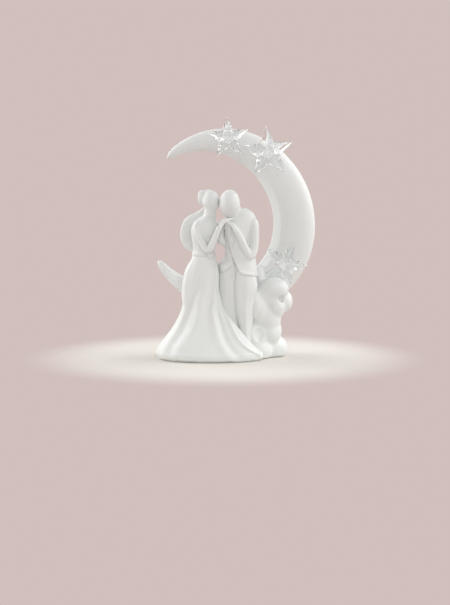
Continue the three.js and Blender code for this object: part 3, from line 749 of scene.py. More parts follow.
@dataclass(frozen=True)
class BisquePorcelain(Finish):
    """Unglazed white porcelain, matt with a dry sheen."""

    name: str = "bisque_porcelain"
    body: tuple[float, float, float] = (0.765, 0.785, 0.77)
    # Colours of the painted highlight on raised edges and of the painted shade in the hollows.
    pale: tuple[float, float, float] = (0.85, 0.86, 0.845)
    painted_shade: tuple[float, float, float] = (0.60, 0.61, 0.62)
    roughness: float = 0.5
    rough_range: tuple[float, float] = (0.05, 0.07)  # how far the mottle takes it down and up
    mottle: float = 0.03
    # Share of the painted highlight and painted shade over the body colour.
    rub: float = 0.4
    bump: float = 0.25
    bump_depth: float = 0.00012
    ior: float = 1.5
    sheen: tuple[float, float] = (0.2, 0.4)  # weight and roughness

    def _build(self) -> bpy.types.Material:
        """Body colour with a slow mottle, paler on raised edges as a painted highlight and duller in the hollows
        as painted shade.

        Returns:
            The material.
        """
        material, nodes, links, shader = self._start()
        grain = self._group(nodes, _groups()["grain"])
        rub = self._group(nodes, _groups()["rub"])
        mottle = nodes.new("ShaderNodeMix")
        mottle.data_type = "RGBA"
        mottle.inputs["A"].default_value = (*(c * (1 - self.mottle) for c in self.body), 1)
        mottle.inputs["B"].default_value = (*(c * (1 + self.mottle) for c in self.body), 1)
        links.new(grain.outputs["Mottle"], mottle.inputs["Factor"])
        last = mottle.outputs["Result"]
        # Painted highlight on raised edges, painted shade in the hollows.
        for mask, colour in (("Raised", self.pale), ("Hollow", self.painted_shade)):
            coat = nodes.new("ShaderNodeMix")
            coat.data_type = "RGBA"
            coat.inputs["B"].default_value = (*colour, 1)
            share = nodes.new("ShaderNodeMath")
            share.operation = "MULTIPLY"
            share.inputs[1].default_value = self.rub
            links.new(rub.outputs[mask], share.inputs[0])
            links.new(share.outputs[0], coat.inputs["Factor"])
            links.new(last, coat.inputs["A"])
            last = coat.outputs["Result"]
        links.new(last, shader.inputs["Base Color"])
        rough = nodes.new("ShaderNodeMapRange")
        rough.inputs["To Min"].default_value = self.roughness - self.rough_range[0]
        rough.inputs["To Max"].default_value = self.roughness + self.rough_range[1]
        links.new(grain.outputs["Mottle"], rough.inputs["Value"])
        links.new(rough.outputs["Result"], shader.inputs["Roughness"])
        bump = nodes.new("ShaderNodeBump")
        bump.inputs["Strength"].default_value = self.bump
        bump.inputs["Distance"].default_value = self.bump_depth
        links.new(grain.outputs["Height"], bump.inputs["Height"])
        links.new(bump.outputs["Normal"], shader.inputs["Normal"])
        shader.inputs["IOR"].default_value = self.ior
        shader.inputs["Sheen Weight"].default_value, shader.inputs["Sheen Roughness"].default_value = self.sheen
        return material


@dataclass(frozen=True)
class ClearAcrylic(Finish):
    """Moulded clear acrylic with hair scratches."""

    name: str = "moulded_clear_acrylic"
    colour: tuple[float, float, float] = (0.97, 0.985, 0.99)
    roughness: float = 0.015
    transmission: float = 1.0
    scratch_tint: float = 0.96
    scratch_rough: float = 0.12
    worn_rough: float = 0.3
    through_tint: float = 0.97
    bump: float = 0.12
    bump_depth: float = 0.0002
    ior: float = 1.49

    def _build(self) -> bpy.types.Material:
        """Clear plastic with rougher scratches and edges, through which shadow and diffuse rays go straight.

        Returns:
            The material.
        """
        material, nodes, links, shader = self._start()
        scuff = self._group(nodes, _groups()["scuff"])
        tint = nodes.new("ShaderNodeMix")
        tint.data_type = "RGBA"
        tint.inputs["A"].default_value = (*self.colour, 1)
        tint.inputs["B"].default_value = (*(c * self.scratch_tint for c in self.colour), 1)
        links.new(scuff.outputs["Scratch"], tint.inputs["Factor"])
        links.new(tint.outputs["Result"], shader.inputs["Base Color"])
        rough = nodes.new("ShaderNodeMapRange")
        rough.inputs["To Min"].default_value = self.roughness
        rough.inputs["To Max"].default_value = self.roughness + self.scratch_rough
        links.new(scuff.outputs["Scratch"], rough.inputs["Value"])
        # Only the raised-edge mask is used here, for the rougher worn edges.
        rub = self._group(nodes, _groups()["rub"])
        worn = nodes.new("ShaderNodeMath")
        worn.operation = "MULTIPLY_ADD"
        worn.inputs[1].default_value = self.worn_rough
        links.new(rub.outputs["Raised"], worn.inputs[0])
        links.new(rough.outputs["Result"], worn.inputs[2])
        links.new(worn.outputs[0], shader.inputs["Roughness"])
        bump = nodes.new("ShaderNodeBump")
        bump.inputs["Strength"].default_value = self.bump
        bump.inputs["Distance"].default_value = self.bump_depth
        links.new(scuff.outputs["Height"], bump.inputs["Height"])
        links.new(bump.outputs["Normal"], shader.inputs["Normal"])
        shader.inputs["Transmission Weight"].default_value = self.transmission
        shader.inputs["IOR"].default_value = self.ior
        path, through = nodes.new("ShaderNodeLightPath"), nodes.new("ShaderNodeBsdfTransparent")
        straight = nodes.new("ShaderNodeMath")
        straight.operation = "MAXIMUM"
        links.new(path.outputs["Is Shadow Ray"], straight.inputs[0])
        links.new(path.outputs["Is Diffuse Ray"], straight.inputs[1])
        through.inputs["Color"].default_value = (*(c * self.through_tint for c in self.colour), 1)
        pick = nodes.new("ShaderNodeMixShader")
        links.new(straight.outputs[0], pick.inputs[0])
        links.new(shader.outputs[0], pick.inputs[1])
        links.new(through.outputs[0], pick.inputs[2])
        links.new(pick.outputs[0], next(n for n in nodes if n.type == "OUTPUT_MATERIAL").inputs["Surface"])
        return material


_made: dict[str, bpy.types.NodeTree] = {}


def _groups() -> dict[str, bpy.types.NodeTree]:
    """Makes the shared node groups at the first call.

    Returns:
        The groups by name.
    """
    if not _made:
        _made.update(grain=Groups.grain(), rub=Groups.rub(), scuff=Groups.scuff())
    return _made


PORCELAIN = BisquePorcelain()
ACRYLIC = ClearAcrylic()
GLUE = ClearAcrylic(name="clear_glue_bead", colour=(0.95, 0.955, 0.95), roughness=0.3, transmission=0.45, bump=0.3)


def cast(form: Form, name: str, node: str) -> bpy.types.Object:
    """Finishes a porcelain casting, freed of crumbs.

    Args:
        form: Its form in millimetres.
        name: Name of the piece.
        node: CAD node that it stands for.

    Returns:
        The object.
    """
    return form.main_body().piece(name, node, Slot.PORCELAIN, PORCELAIN.material())


# Sub-assemblies


@dataclass
class Skirt:
    """The bride's skirt, a bell with folds and a train."""

    height: float = 69.0
    lift: float = 0.6
    wall: float = 3.0
    hem_middle: tuple[float, float] = (-9.7, -5.7)
    hem_half: tuple[float, float] = (36.0, 23.8)
    waist_middle: tuple[float, float] = (-13.7, -6.0)
    waist_half: tuple[float, float] = (7.5, 6.0)
    rows: Rows = (
        (0, 0.93, 0.965, 0.95, 0.94, 0.19),
        (0.02, 0.97, 0.99, 1, 1, 0.19),
        (0.05, 1.005, 0.985, 1, 1, 0.21),
        (0.085, 0.985, 0.915, 0.94, 0.93, 0.26),
        (0.14, 0.9, 0.79, 0.86, 0.83, 0.32),
        (0.215, 0.735, 0.65, 0.71, 0.67, 0.38),
        (0.295, 0.565, 0.51, 0.59, 0.47, 0.4),
        (0.37, 0.445, 0.385, 0.5, 0.33, 0.38),
        (0.45, 0.34, 0.24, 0.43, 0.25, 0.34),
        (0.53, 0.28, 0.13, 0.38, 0.21, 0.28),
        (0.62, 0.3, 0.09, 0.34, 0.195, 0.21),
        (0.72, 0.29, 0.08, 0.285, 0.195, 0.15),
        (0.81, 0.245, 0.09, 0.23, 0.17, 0.1),
        (0.89, 0.17, 0.075, 0.14, 0.11, 0.04),
        (0.965, 0.04, 0.022, 0.04, 0.03, 0),
        (1, 0, 0, 0, 0, 0),
    )
    # Folds: rows of height share and angle from the right edge round the front, then height and spread.
    folds: tuple[tuple[tuple[tuple[float, float], ...], float, float], ...] = (
        (
            ((0, 16), (0.05, 24), (0.12, 35), (0.23, 41), (0.34, 38), (0.46, 25), (0.56, 19), (0.7, 26), (1, 28)),
            1.7,
            4.0,
        ),
        (((0, 57), (0.22, 61), (0.39, 55), (0.57, 34), (1, 36)), -1.0, 5.5),
        (((0, 68), (0.12, 71), (0.28, 74), (0.46, 67), (0.6, 48), (0.72, 43), (1, 42)), 1.4, 6.0),
        (((0, 124), (0.13, 121), (0.24, 114), (0.4, 103), (0.58, 89), (0.72, 76), (1, 75)), 1.5, 12.0),
        (((0, 137), (0.3, 134), (0.42, 130), (0.56, 115), (0.7, 97), (1, 95)), -0.9, 8.0),
        (((0, 146), (0.27, 144), (0.4, 143), (0.57, 142), (0.75, 144), (1, 150)), 1.3, 11.0),
        (((0, 208), (1, 205)), 1.3, 13.0),
        (((0, 226), (1, 223)), -0.6, 8.0),
        (((0, 244), (1, 242)), 1.7, 13.0),
        (((0, 280), (1, 278)), 1.5, 13.0),
        (((0, 322), (1, 316)), 1.1, 12.0),
    )
    # Where a fold lifts the rolled hem: angle, lift, spread.
    tucks: tuple[tuple[float, float, float], ...] = (
        (127, 1.6, 3.2),
        (40, 0.6, 6.0),
        (72, 0.7, 4.0),
        (208, 1.2, 4.0),
        (262, 1.3, 4.0),
    )
    tuck_share: float = 0.6  # how much of a tuck's lift the hem takes
    hem_roll: tuple[float, float] = (3.0, 2.2)  # height of the rolled hem's middle and its spread
    fold_fade: tuple[float, float] = (0.6, 0.7)  # powers that set where folds are full and how fast they fade
    waist_from: float = 0.95  # height share above which the right edge lies at mid depth
    below: float = 4.0  # how far the hollow's cutter reaches below the hem

    def __post_init__(self) -> None:
        """Places the sections and the folds."""
        (wx, wy), (hx, hy) = self.waist_middle, self.hem_middle
        (ww, wd), (hw, hd) = self.waist_half, self.hem_half
        self.sections = tuple(
            (
                self.lift + h * (self.height - self.lift),
                blend(wx - ww, hx - hw, left),
                blend(wx + ww, hx + hw, right),
                blend(wy - wd, hy - hd, front),
                blend(wy + wd, hy + hd, back),
                blend(wy, hy - hd, forward) if h < self.waist_from else wy,
            )
            for h, left, right, front, back, forward in self.rows
        )
        self.fold_paths = [(Profile(path), tall, spread) for path, tall, spread in self.folds]

    def ridge(self, angle: float, z: float) -> float:
        """Height of the folds, which die away at the waist and in the rolled hem.

        Args:
            angle: Angle in degrees from the right edge round the front.
            z: Height in millimetres.

        Returns:
            How far they stand out, in millimetres.
        """
        share = min(max((z - self.lift) / (self.height - self.lift), 0.0), 1.0)
        skew, full = self.fold_fade
        fade = math.sin(math.pi * share**skew) ** full if 0 < share < 1 else 0.0
        total = 0.0
        for path, tall, spread in self.fold_paths:
            middle = path.at(share)[0]
            apart = (angle - middle + 180) % 360 - 180
            total += tall * gauss(apart, spread)
        return total * fade

    def solid(self, grow: float = 0.0) -> Form:
        """The skirt as a solid bell."""
        return Oval(self.sections, around=360, along=120).form(grow, self.ridge)

    def build(self) -> None:
        """Makes the hollow casting."""
        wall = self.wall
        hollow_rows = tuple(
            (z - (self.below if i == 0 else 0), left + wall, right - wall, front + wall, back - wall, right_y)
            for i, (z, left, right, front, back, right_y) in enumerate(self.sections[::2])
            if z < self.height - 2 * wall
        )
        hollow = Oval(hollow_rows, around=96, along=40).form()
        shell = self.solid().moved(self._tuck).cut(hollow)
        cast(shell, "skirt_casting", "bride_skirt")

    def _tuck(self, point: Vector) -> Vector:
        """Lifts the rolled hem where a fold runs into it.

        Args:
            point: A point of the bell.

        Returns:
            Its new place.
        """
        hx, hy = self.hem_middle
        across, deep = (point.x - hx) / self.hem_half[0], (point.y - hy) / self.hem_half[1]
        angle = math.degrees(math.atan2(-deep, across)) % 360
        middle, spread_up = self.hem_roll
        near = gauss(point.z - middle, spread_up)
        lift = sum(tall * gauss((angle - at + 180) % 360 - 180, spread) for at, tall, spread in self.tucks)
        return point + Vector((0, 0, lift * near * self.tuck_share))


@dataclass
class CrescentMoon:
    """The crescent between two tilted ovals, with a bevel along its inner edge."""

    outer: tuple[float, float, float] = (57.2, 62.5, 20.5)
    inner: tuple[float, float, float] = (42.2, 46.3, 42.5)
    x: float = 3.3
    y: float = 9.0
    foot: float = 29.8
    inner_shift: tuple[float, float] = (-14.4, 2.1)
    depth: float = 18.0
    tips: tuple[float, float] = (4.5, 4.5)
    nose: float = math.radians(7)
    section: tuple[tuple[float, float], ...] = (
        (-1, 0.3),
        (-0.62, 0.86),
        (-0.3, 0.97),
        (0.1, 1),
        (0.45, 0.9),
        (0.75, 0.66),
        (0.93, 0.36),
        (1, 0),
    )
    # The inner edge's bevel and the tight round of the outer edge, as shares like the section's.
    bevel: tuple[tuple[float, float], ...] = (
        (-1, 0),
        (-1, 0.22),
        (-0.985, 0.315),
        (-0.85, 0.52),
        (-0.69, 0.775),
        (-0.65, 0.825),
        (-0.6, 0.855),
        (-0.45, 0.905),
    )
    rounding: tuple[tuple[float, float], ...] = ((0.985, -0.16), (1, 0), (0.985, 0.16))
    depth_power: float = 0.75  # how the depth follows the width towards the horns
    ease: float = 0.55  # how much closer the faces lie towards the horns
    shrink: float = 0.16  # how far the casting's skin lies inside the CAD form

    def __post_init__(self) -> None:
        """Places the moon on its foot and finds where each horn ends."""
        wide, tall, tilt = self.outer
        turn = math.radians(tilt)
        self.z = self.foot + math.hypot(wide * math.sin(turn), tall * math.cos(turn))
        self.heart = Vector((self.x + self.inner_shift[0], self.z + self.inner_shift[1]))
        self.upper = self._horn(1, self.tips[0])
        self.lower = self._horn(-1, self.tips[1])
        self.widest = max(self.width((i / 30 - 1) * math.pi / 2) for i in range(60))

    def _reach(self, centre: Vector, oval: tuple[float, float, float], angle: float) -> float:
        """Distance from the moon's heart to an oval.

        Args:
            centre: Middle of the oval.
            oval: Its half width, half height and tilt in degrees.
            angle: Direction from the heart.

        Returns:
            The distance in millimetres.
        """
        wide, tall, tilt = oval
        c, s = math.cos(math.radians(tilt)), math.sin(math.radians(tilt))

        def turned(x: float, y: float) -> tuple[float, float]:
            """A step in the oval's own directions, as shares of its half sizes."""
            return (x * c + y * s) / wide, (y * c - x * s) / tall

        fx, fy = turned(*(self.heart - centre))
        sx, sy = turned(math.cos(angle), math.sin(angle))
        a, b, k = sx * sx + sy * sy, fx * sx + fy * sy, fx * fx + fy * fy - 1
        return (math.sqrt(b * b - a * k) - b) / a

    def edges(self, angle: float) -> tuple[float, float]:
        """Reach of the inner and the outer edge along an angle."""
        return self._reach(self.heart, self.inner, angle), self._reach(Vector((self.x, self.z)), self.outer, angle)

    def width(self, angle: float) -> float:
        """Width of the crescent along an angle."""
        inner, outer = self.edges(angle)
        return outer - inner

    def _horn(self, turn: int, tip: float) -> float:
        """Angle at which a horn has narrowed to its tip width.

        Args:
            turn: 1 for the upper horn, -1 for the lower one.
            tip: Width of the tip.

        Returns:
            The angle.
        """
        step, angle = math.pi / 720, 0.0
        while self.width(angle + turn * step) > tip and abs(angle) < math.pi:
            angle += turn * step
        return angle

    def nose_share(self, angle: float) -> float:
        """Share of the full section that is left near a horn's round tip."""
        to_tip = min(self.upper - angle, angle - self.lower)
        return math.sqrt(1 - (1 - min(max(to_tip / self.nose, 0.0), 1.0)) ** 2)

    def point(self, angle: float, across: float, deep: float, grow: float = 0.0) -> Vector:
        """Point of the moon.

        Args:
            angle: Direction from the moon's heart.
            across: Place across the crescent, from -1 at its inner edge to 1 at its outer one.
            deep: Share of the half depth, below 0 in front.
            grow: How much further out the skin lies.

        Returns:
            The point.
        """
        inner, outer = self.edges(angle)
        nose = self.nose_share(angle)
        reach = (inner + outer) / 2 + across * ((outer - inner) / 2 * nose + grow)
        half = self.depth / 2 * ((outer - inner) / self.widest) ** self.depth_power * nose
        return Vector(
            (
                self.heart.x + reach * math.cos(angle),
                self.y + deep * (half + grow),
                self.heart.y + reach * math.sin(angle),
            )
        )

    def solid(self, grow: float = 0.0, around: int = 88, along: int = 260) -> Form:
        """The whole crescent.

        Args:
            grow: How much further out the skin lies.
            around: Faces round its section.
            along: Faces from horn to horn.

        Returns:
            The form.
        """
        ring = self._section_ring()

        def surface(u: float, v: float) -> Vector:
            """Point of the skin.

            Args:
                u: Share of the way round the section.
                v: Share of the way from horn to horn.

            Returns:
                The point.
            """
            eased = 0.5 - 0.5 * math.cos(math.pi * v)
            angle = blend(self.upper, self.lower, blend(v, eased, self.ease))
            if v in (0.0, 1.0):
                return self.point(angle, 0, 0, 0)
            place = ring.at(u)
            return self.point(angle, place.x, place.y, grow)

        return Form.wrap(surface, around, along)

    def _section_ring(self) -> Path:
        """Closed outline of the section, whose bevel has a tight ridge and whose outer edge is round.

        Returns:
            A path in shares across and in depth.
        """
        half = [(x, -y) for x, y in (*self.bevel, *self.section[2:-1])]
        back = [(x, -y) for x, y in reversed(half[1:])]
        return Path([Vector((x, y, 0)) for x, y in (*half, *self.rounding, *back)], closed=True)

    def build(self) -> None:
        """Makes the casting."""
        cast(self.solid(-self.shrink), "moon_casting", "moon")


@dataclass
class Bride:
    """The bride above the waist: bodice and sash, head and hair, arms and veil."""

    waist: Vector = field(default_factory=lambda: Vector((-13.7, -6.0, 69.0)))
    half: tuple[float, float] = (8.5, 7.0)
    tall: float = 26.5
    sash: tuple[float, float] = (2.8, 0.5)
    knot: float = 1.7
    head_half: Vector = field(default_factory=lambda: Vector((5.7, 5.8, 7.4)))
    head_rise: float = 9.8
    neck: float = 4.0
    arm: float = 2.4
    hand: float = 7.0
    veil_size: tuple[float, float, float] = (15.6, 29.8, 4.2)
    bodice_rows: Rows = (
        (0.0, 0.86, 0.88, 0.8, 0.8),
        (0.06, 0.9, 0.9, 0.8, 0.82),
        (0.18, 0.84, 0.88, 0.8, 0.79),
        (0.38, 0.92, 1, 0.93, 0.86),
        (0.6, 1, 1.12, 1.07, 0.93),
        (0.78, 0.9, 1.12, 0.95, 0.93),
        (0.88, 0.68, 1.04, 0.8, 0.84),
        (0.96, 0.34, 0.92, 0.58, 0.7),
        (1.02, 0.1, 0.84, 0.46, 0.58),
    )
    veil_rows: tuple[tuple[float, float], ...] = (
        (0.05, 0),
        (-0.15, -0.09),
        (-0.43, -0.17),
        (-0.68, -0.24),
        (-0.86, -0.34),
        (-0.97, -0.49),
        (-1, -0.66),
        (-0.95, -0.79),
        (-0.82, -0.91),
        (-0.57, -1),
        (-0.26, -0.93),
        (-0.03, -0.69),
        (0.05, -0.35),
        (0.14, -0.08),
    )
    # Limbs: shares of the torso's half width, half depth and height, then of the limb's radius.
    neck_rows: Rows = ((0.52, 0.12, 1.2), (0.45, 0.08, 0.96), (0.4, 0.05, 0.86))
    arm_rows: Rows = (
        (-0.4, -0.3, 0.82, 1.15),
        (-0.56, -0.68, 0.72, 1.1),
        (-0.42, -0.95, 0.56, 1),
        (-0.1, -1.13, 0.36, 0.95),
        (0.22, -1.3, 0.19, 0.9),
        (0.42, -1.38, 0.17, 0.9),
        (0.65, -1.43, 0.32, 0.95),
        (0.95, -1.43, 0.54, 0.82),
        (1.17, -1.39, 0.713, 0.72),
    )
    # The hand: shares of its length from the groom's chin, then of the radius, and how flat it is.
    palm_rows: Rows = (
        (-0.81, -0.77, -0.66, 0.64, 1),
        (-0.64, -0.68, -0.37, 0.62, 1.2),
        (-0.37, -0.58, -0.16, 0.54, 1.4),
        (0, -0.45, -0.07, 0.46, 1.4),
        (0.3, -0.4, -0.04, 0.3, 1.3),
    )
    far_arm_rows: Rows = ((0.8, 0.3, 0.76, 1.1), (1.3, 0.3, 0.62, 1.25), (1.3, 0.1, 0.43, 1.35))
    far_hand: tuple[float, float, float] = (-0.86, 0.02, 0.48)  # on the jacket
    knot_at: tuple[float, float, float] = (0.55, -0.9, 0)
    knot_ends: Rows = ((-0.9, -3.0), (0.9, -2.6))
    bun_at: tuple[float, float, float] = (-1.14, 0.35, 0.3)
    bun_half: tuple[float, float, float] = (2.6, 2.6, 5.4)
    curl: float = 1.2
    curl_rows: Rows = ((-1.05, 0.3, 0.8), (-0.7, 0.15, 0.9), (-0.2, 0.05, 0.93))
    veil_face: tuple[tuple[float, float], ...] = (
        (0, 0.62),
        (0.55, 0.66),
        (0.78, 0.8),
        (0.9, 0.98),
        (0.965, 0.86),
        (1.0, 0.0),
    )
    veil_rim: float = 1.2
    veil_centre: tuple[float, float] = (-0.42, -0.56)  # in shares of its width and height
    veil_bend: float = 1.6
    sash_half: tuple[float, float] = (7.5, 6.0)
    sash_rows: int = 12
    sash_lap: tuple[float, float] = (0.35, 0.5)  # how far it starts below the waist, and its extra height
    # Gathers of the bodice: height, middle and spread in shares of its height, then how many go round.
    gathers: tuple[float, float, float, int] = (0.16, 0.25, 0.22, 15)
    pleat: float = 0.16
    # Wound strand of the bun: half turns, where they start, top, foot, the oval's half height, thickness.
    strand: tuple[float, ...] = (2.6, 0.6, 2.6, -2.4, 3.7, 0.62)

    def spot(self, row: Shares) -> Vector:
        """Point of the torso from shares of its half width, half depth and height."""
        return self.waist + Vector((row[0] * self.half[0], row[1] * self.half[1], row[2] * self.tall))

    @property
    def head(self) -> Vector:
        """Middle of the head."""
        return self.spot((0.57, 0.12, 1)) + Vector((0, 0, self.head_rise))

    def head_spot(self, row: Shares) -> Vector:
        """Point of the head from shares of its half sizes."""
        return self.head + Vector(tuple(a * b for a, b in zip(row, self.head_half)))

    def torso(self, grow: float = 0.0) -> Form:
        """Bodice without the sash.

        Args:
            grow: How much further out the skin lies.

        Returns:
            The form.
        """
        placed = sections(self.waist, self.half, self.tall, self.bodice_rows)
        return Oval(placed, around=72, along=40).form(grow, self._drape)

    def _drape(self, angle: float, z: float) -> float:
        """Shallow gathers that rise from the sash over the front.

        Args:
            angle: Angle in degrees.
            z: Height in millimetres.

        Returns:
            How far they stand out, in millimetres.
        """
        tall, middle, spread, count = self.gathers
        share = (z - self.waist.z) / self.tall
        return tall * gauss(share - middle, spread) * math.sin(math.radians(angle) * count + share * 5)

    def sash_band(self) -> Form:
        """Band round the waist with three soft pleats.

        Returns:
            The form.
        """
        x, y, z = self.waist
        tall, out = self.sash
        w, d = self.sash_half
        rows = []
        for i in range(self.sash_rows + 1):
            share = i / self.sash_rows
            swell = out * math.sin(math.pi * share) ** 0.6 + self.pleat * math.sin(share * math.pi * 6)
            height = z - self.sash_lap[0] + (tall + self.sash_lap[1]) * share
            rows.append((height, x - w - swell, x + w + swell, y - d - swell, y + d + swell, y))
        return Oval(tuple(rows), around=72, along=24).form()

    def knot_forms(self) -> list[Form]:
        """Small knot of the sash with its two short ends.

        Returns:
            The forms that melt into the bodice.
        """
        middle = self.spot(self.knot_at) + Vector((0, -0.1, self.sash[0] / 2))
        ends = []
        for x, z in self.knot_ends:
            stations = (
                Station(middle, 0.75, 0.8),
                Station(middle + Vector((x * 0.6, -0.1, z * 0.5)), 0.8, 0.6),
                Station(middle + Vector((x, 0.25, z)), 0.6, 0.5),
            )
            ends.append(Limb(stations, around=14).form())
        return [Form.egg(middle, Vector((self.knot * 0.8, self.knot * 0.85, self.sash[0] / 2)), fine=24), *ends]

    def head_form(self, grow: float = 0.0) -> Form:
        """Smooth head without features."""
        radii = self.head_half + Vector((grow, grow, grow))
        return Form.egg(self.head, radii, chin=0.15, fine=72)

    def neck_form(self, grow: float = 0.0) -> Form:
        """Neck that slopes into the shoulders."""
        return Limb(tuple(Station(self.spot(r), self.neck) for r in self.neck_rows)).form(grow)

    def bun_forms(self, grow: float = 0.0) -> list[Form]:
        """Twisted bun and the curl that runs from it to the crown.

        Args:
            grow: How much further out the skin lies.

        Returns:
            The bun, the curl and the strand that winds round the bun.
        """
        middle = self.head_spot(self.bun_at)
        bun = Form.egg(middle, Vector([half + grow for half in self.bun_half]), chin=0.5, fine=40)
        curl = Limb(tuple(Station(self.head_spot(r), self.curl) for r in self.curl_rows), around=20).form(grow)
        turns, start, top, foot, half, thick = self.strand
        coil = []
        for i in range(9):
            turn = i / 8 * turns * math.pi + start
            rise = blend(top, foot, i / 8)
            wide = 2.0 * math.sqrt(max(1 - (rise / half) ** 2, 0.1))
            coil.append(Station(middle + Vector((wide * math.cos(turn), -wide * math.sin(turn), rise)), thick))
        return [bun, curl, Limb(tuple(coil), around=14, steps=6).form(grow)]

    def near_arm(self, chin: Vector, grow: float = 0.0) -> Form:
        """Near arm, bent at the elbow, with the open hand at the chin.

        Args:
            chin: Lowest point of the groom's head.
            grow: How much further out the skin lies.

        Returns:
            The arm.
        """
        stations = [Station(self.spot(r), self.arm * r[3]) for r in self.arm_rows]
        stations += [Station(chin + Vector(r[:3]) * self.hand, self.arm * r[3], r[4]) for r in self.palm_rows]
        return Limb(tuple(stations)).form(grow)

    def far_arm(self, groom_spot: Callable[[Shares], Vector], grow: float = 0.0) -> Form:
        """Far arm between the two torsos, the hand on the jacket.

        Args:
            groom_spot: Point of the jacket from shares.
            grow: How much further out the skin lies.

        Returns:
            The form.
        """
        stations = [Station(self.spot(r), self.arm * r[3]) for r in self.far_arm_rows]
        stations.append(Station(groom_spot(self.far_hand), self.arm))
        return Limb(tuple(stations)).form(grow)

    def veil(self, grow: float = 0.0) -> Form:
        """Thin hanging lobe with a rounded, raised rim.

        Args:
            grow: How much further out the skin lies.

        Returns:
            The form.
        """
        wide, tall, thick = self.veil_size
        nape = self.head_spot((-0.92, 0, -0.6))
        y = self.waist.y + self.half[1] + thick / 2
        rim = self.veil_rim
        centre = Vector((self.veil_centre[0] * wide, 0, self.veil_centre[1] * tall))
        edge = Path([Vector((x * (wide - rim), 0, z * (tall - rim))) for x, z in self.veil_rows], closed=True)
        face = Profile(self.veil_face)

        def surface(u: float, v: float) -> Vector:
            """Point of the lobe.

            Args:
                u: Share of the way round its edge.
                v: Share of the way from the front's middle over the rim to the back's middle.

            Returns:
                The point.
            """
            turn = v * math.pi
            reach = min(math.sin(turn), 1.0)
            thickness = (thick / 2 + grow) * face.at(reach)[0] * (1 if turn < math.pi / 2 else -1)
            rim_out = (rim + grow) * reach**6
            spot = edge.at(u)
            from_centre = spot - centre
            place = centre + from_centre * reach + from_centre.normalized() * rim_out
            bend = self.veil_bend * (1 - (place.x / wide + 0.45) ** 2 * 3)
            return Vector((nape.x + place.x, y - thickness + bend * 0.4, nape.z + place.z))

        return Form.wrap(surface, 96, 40)


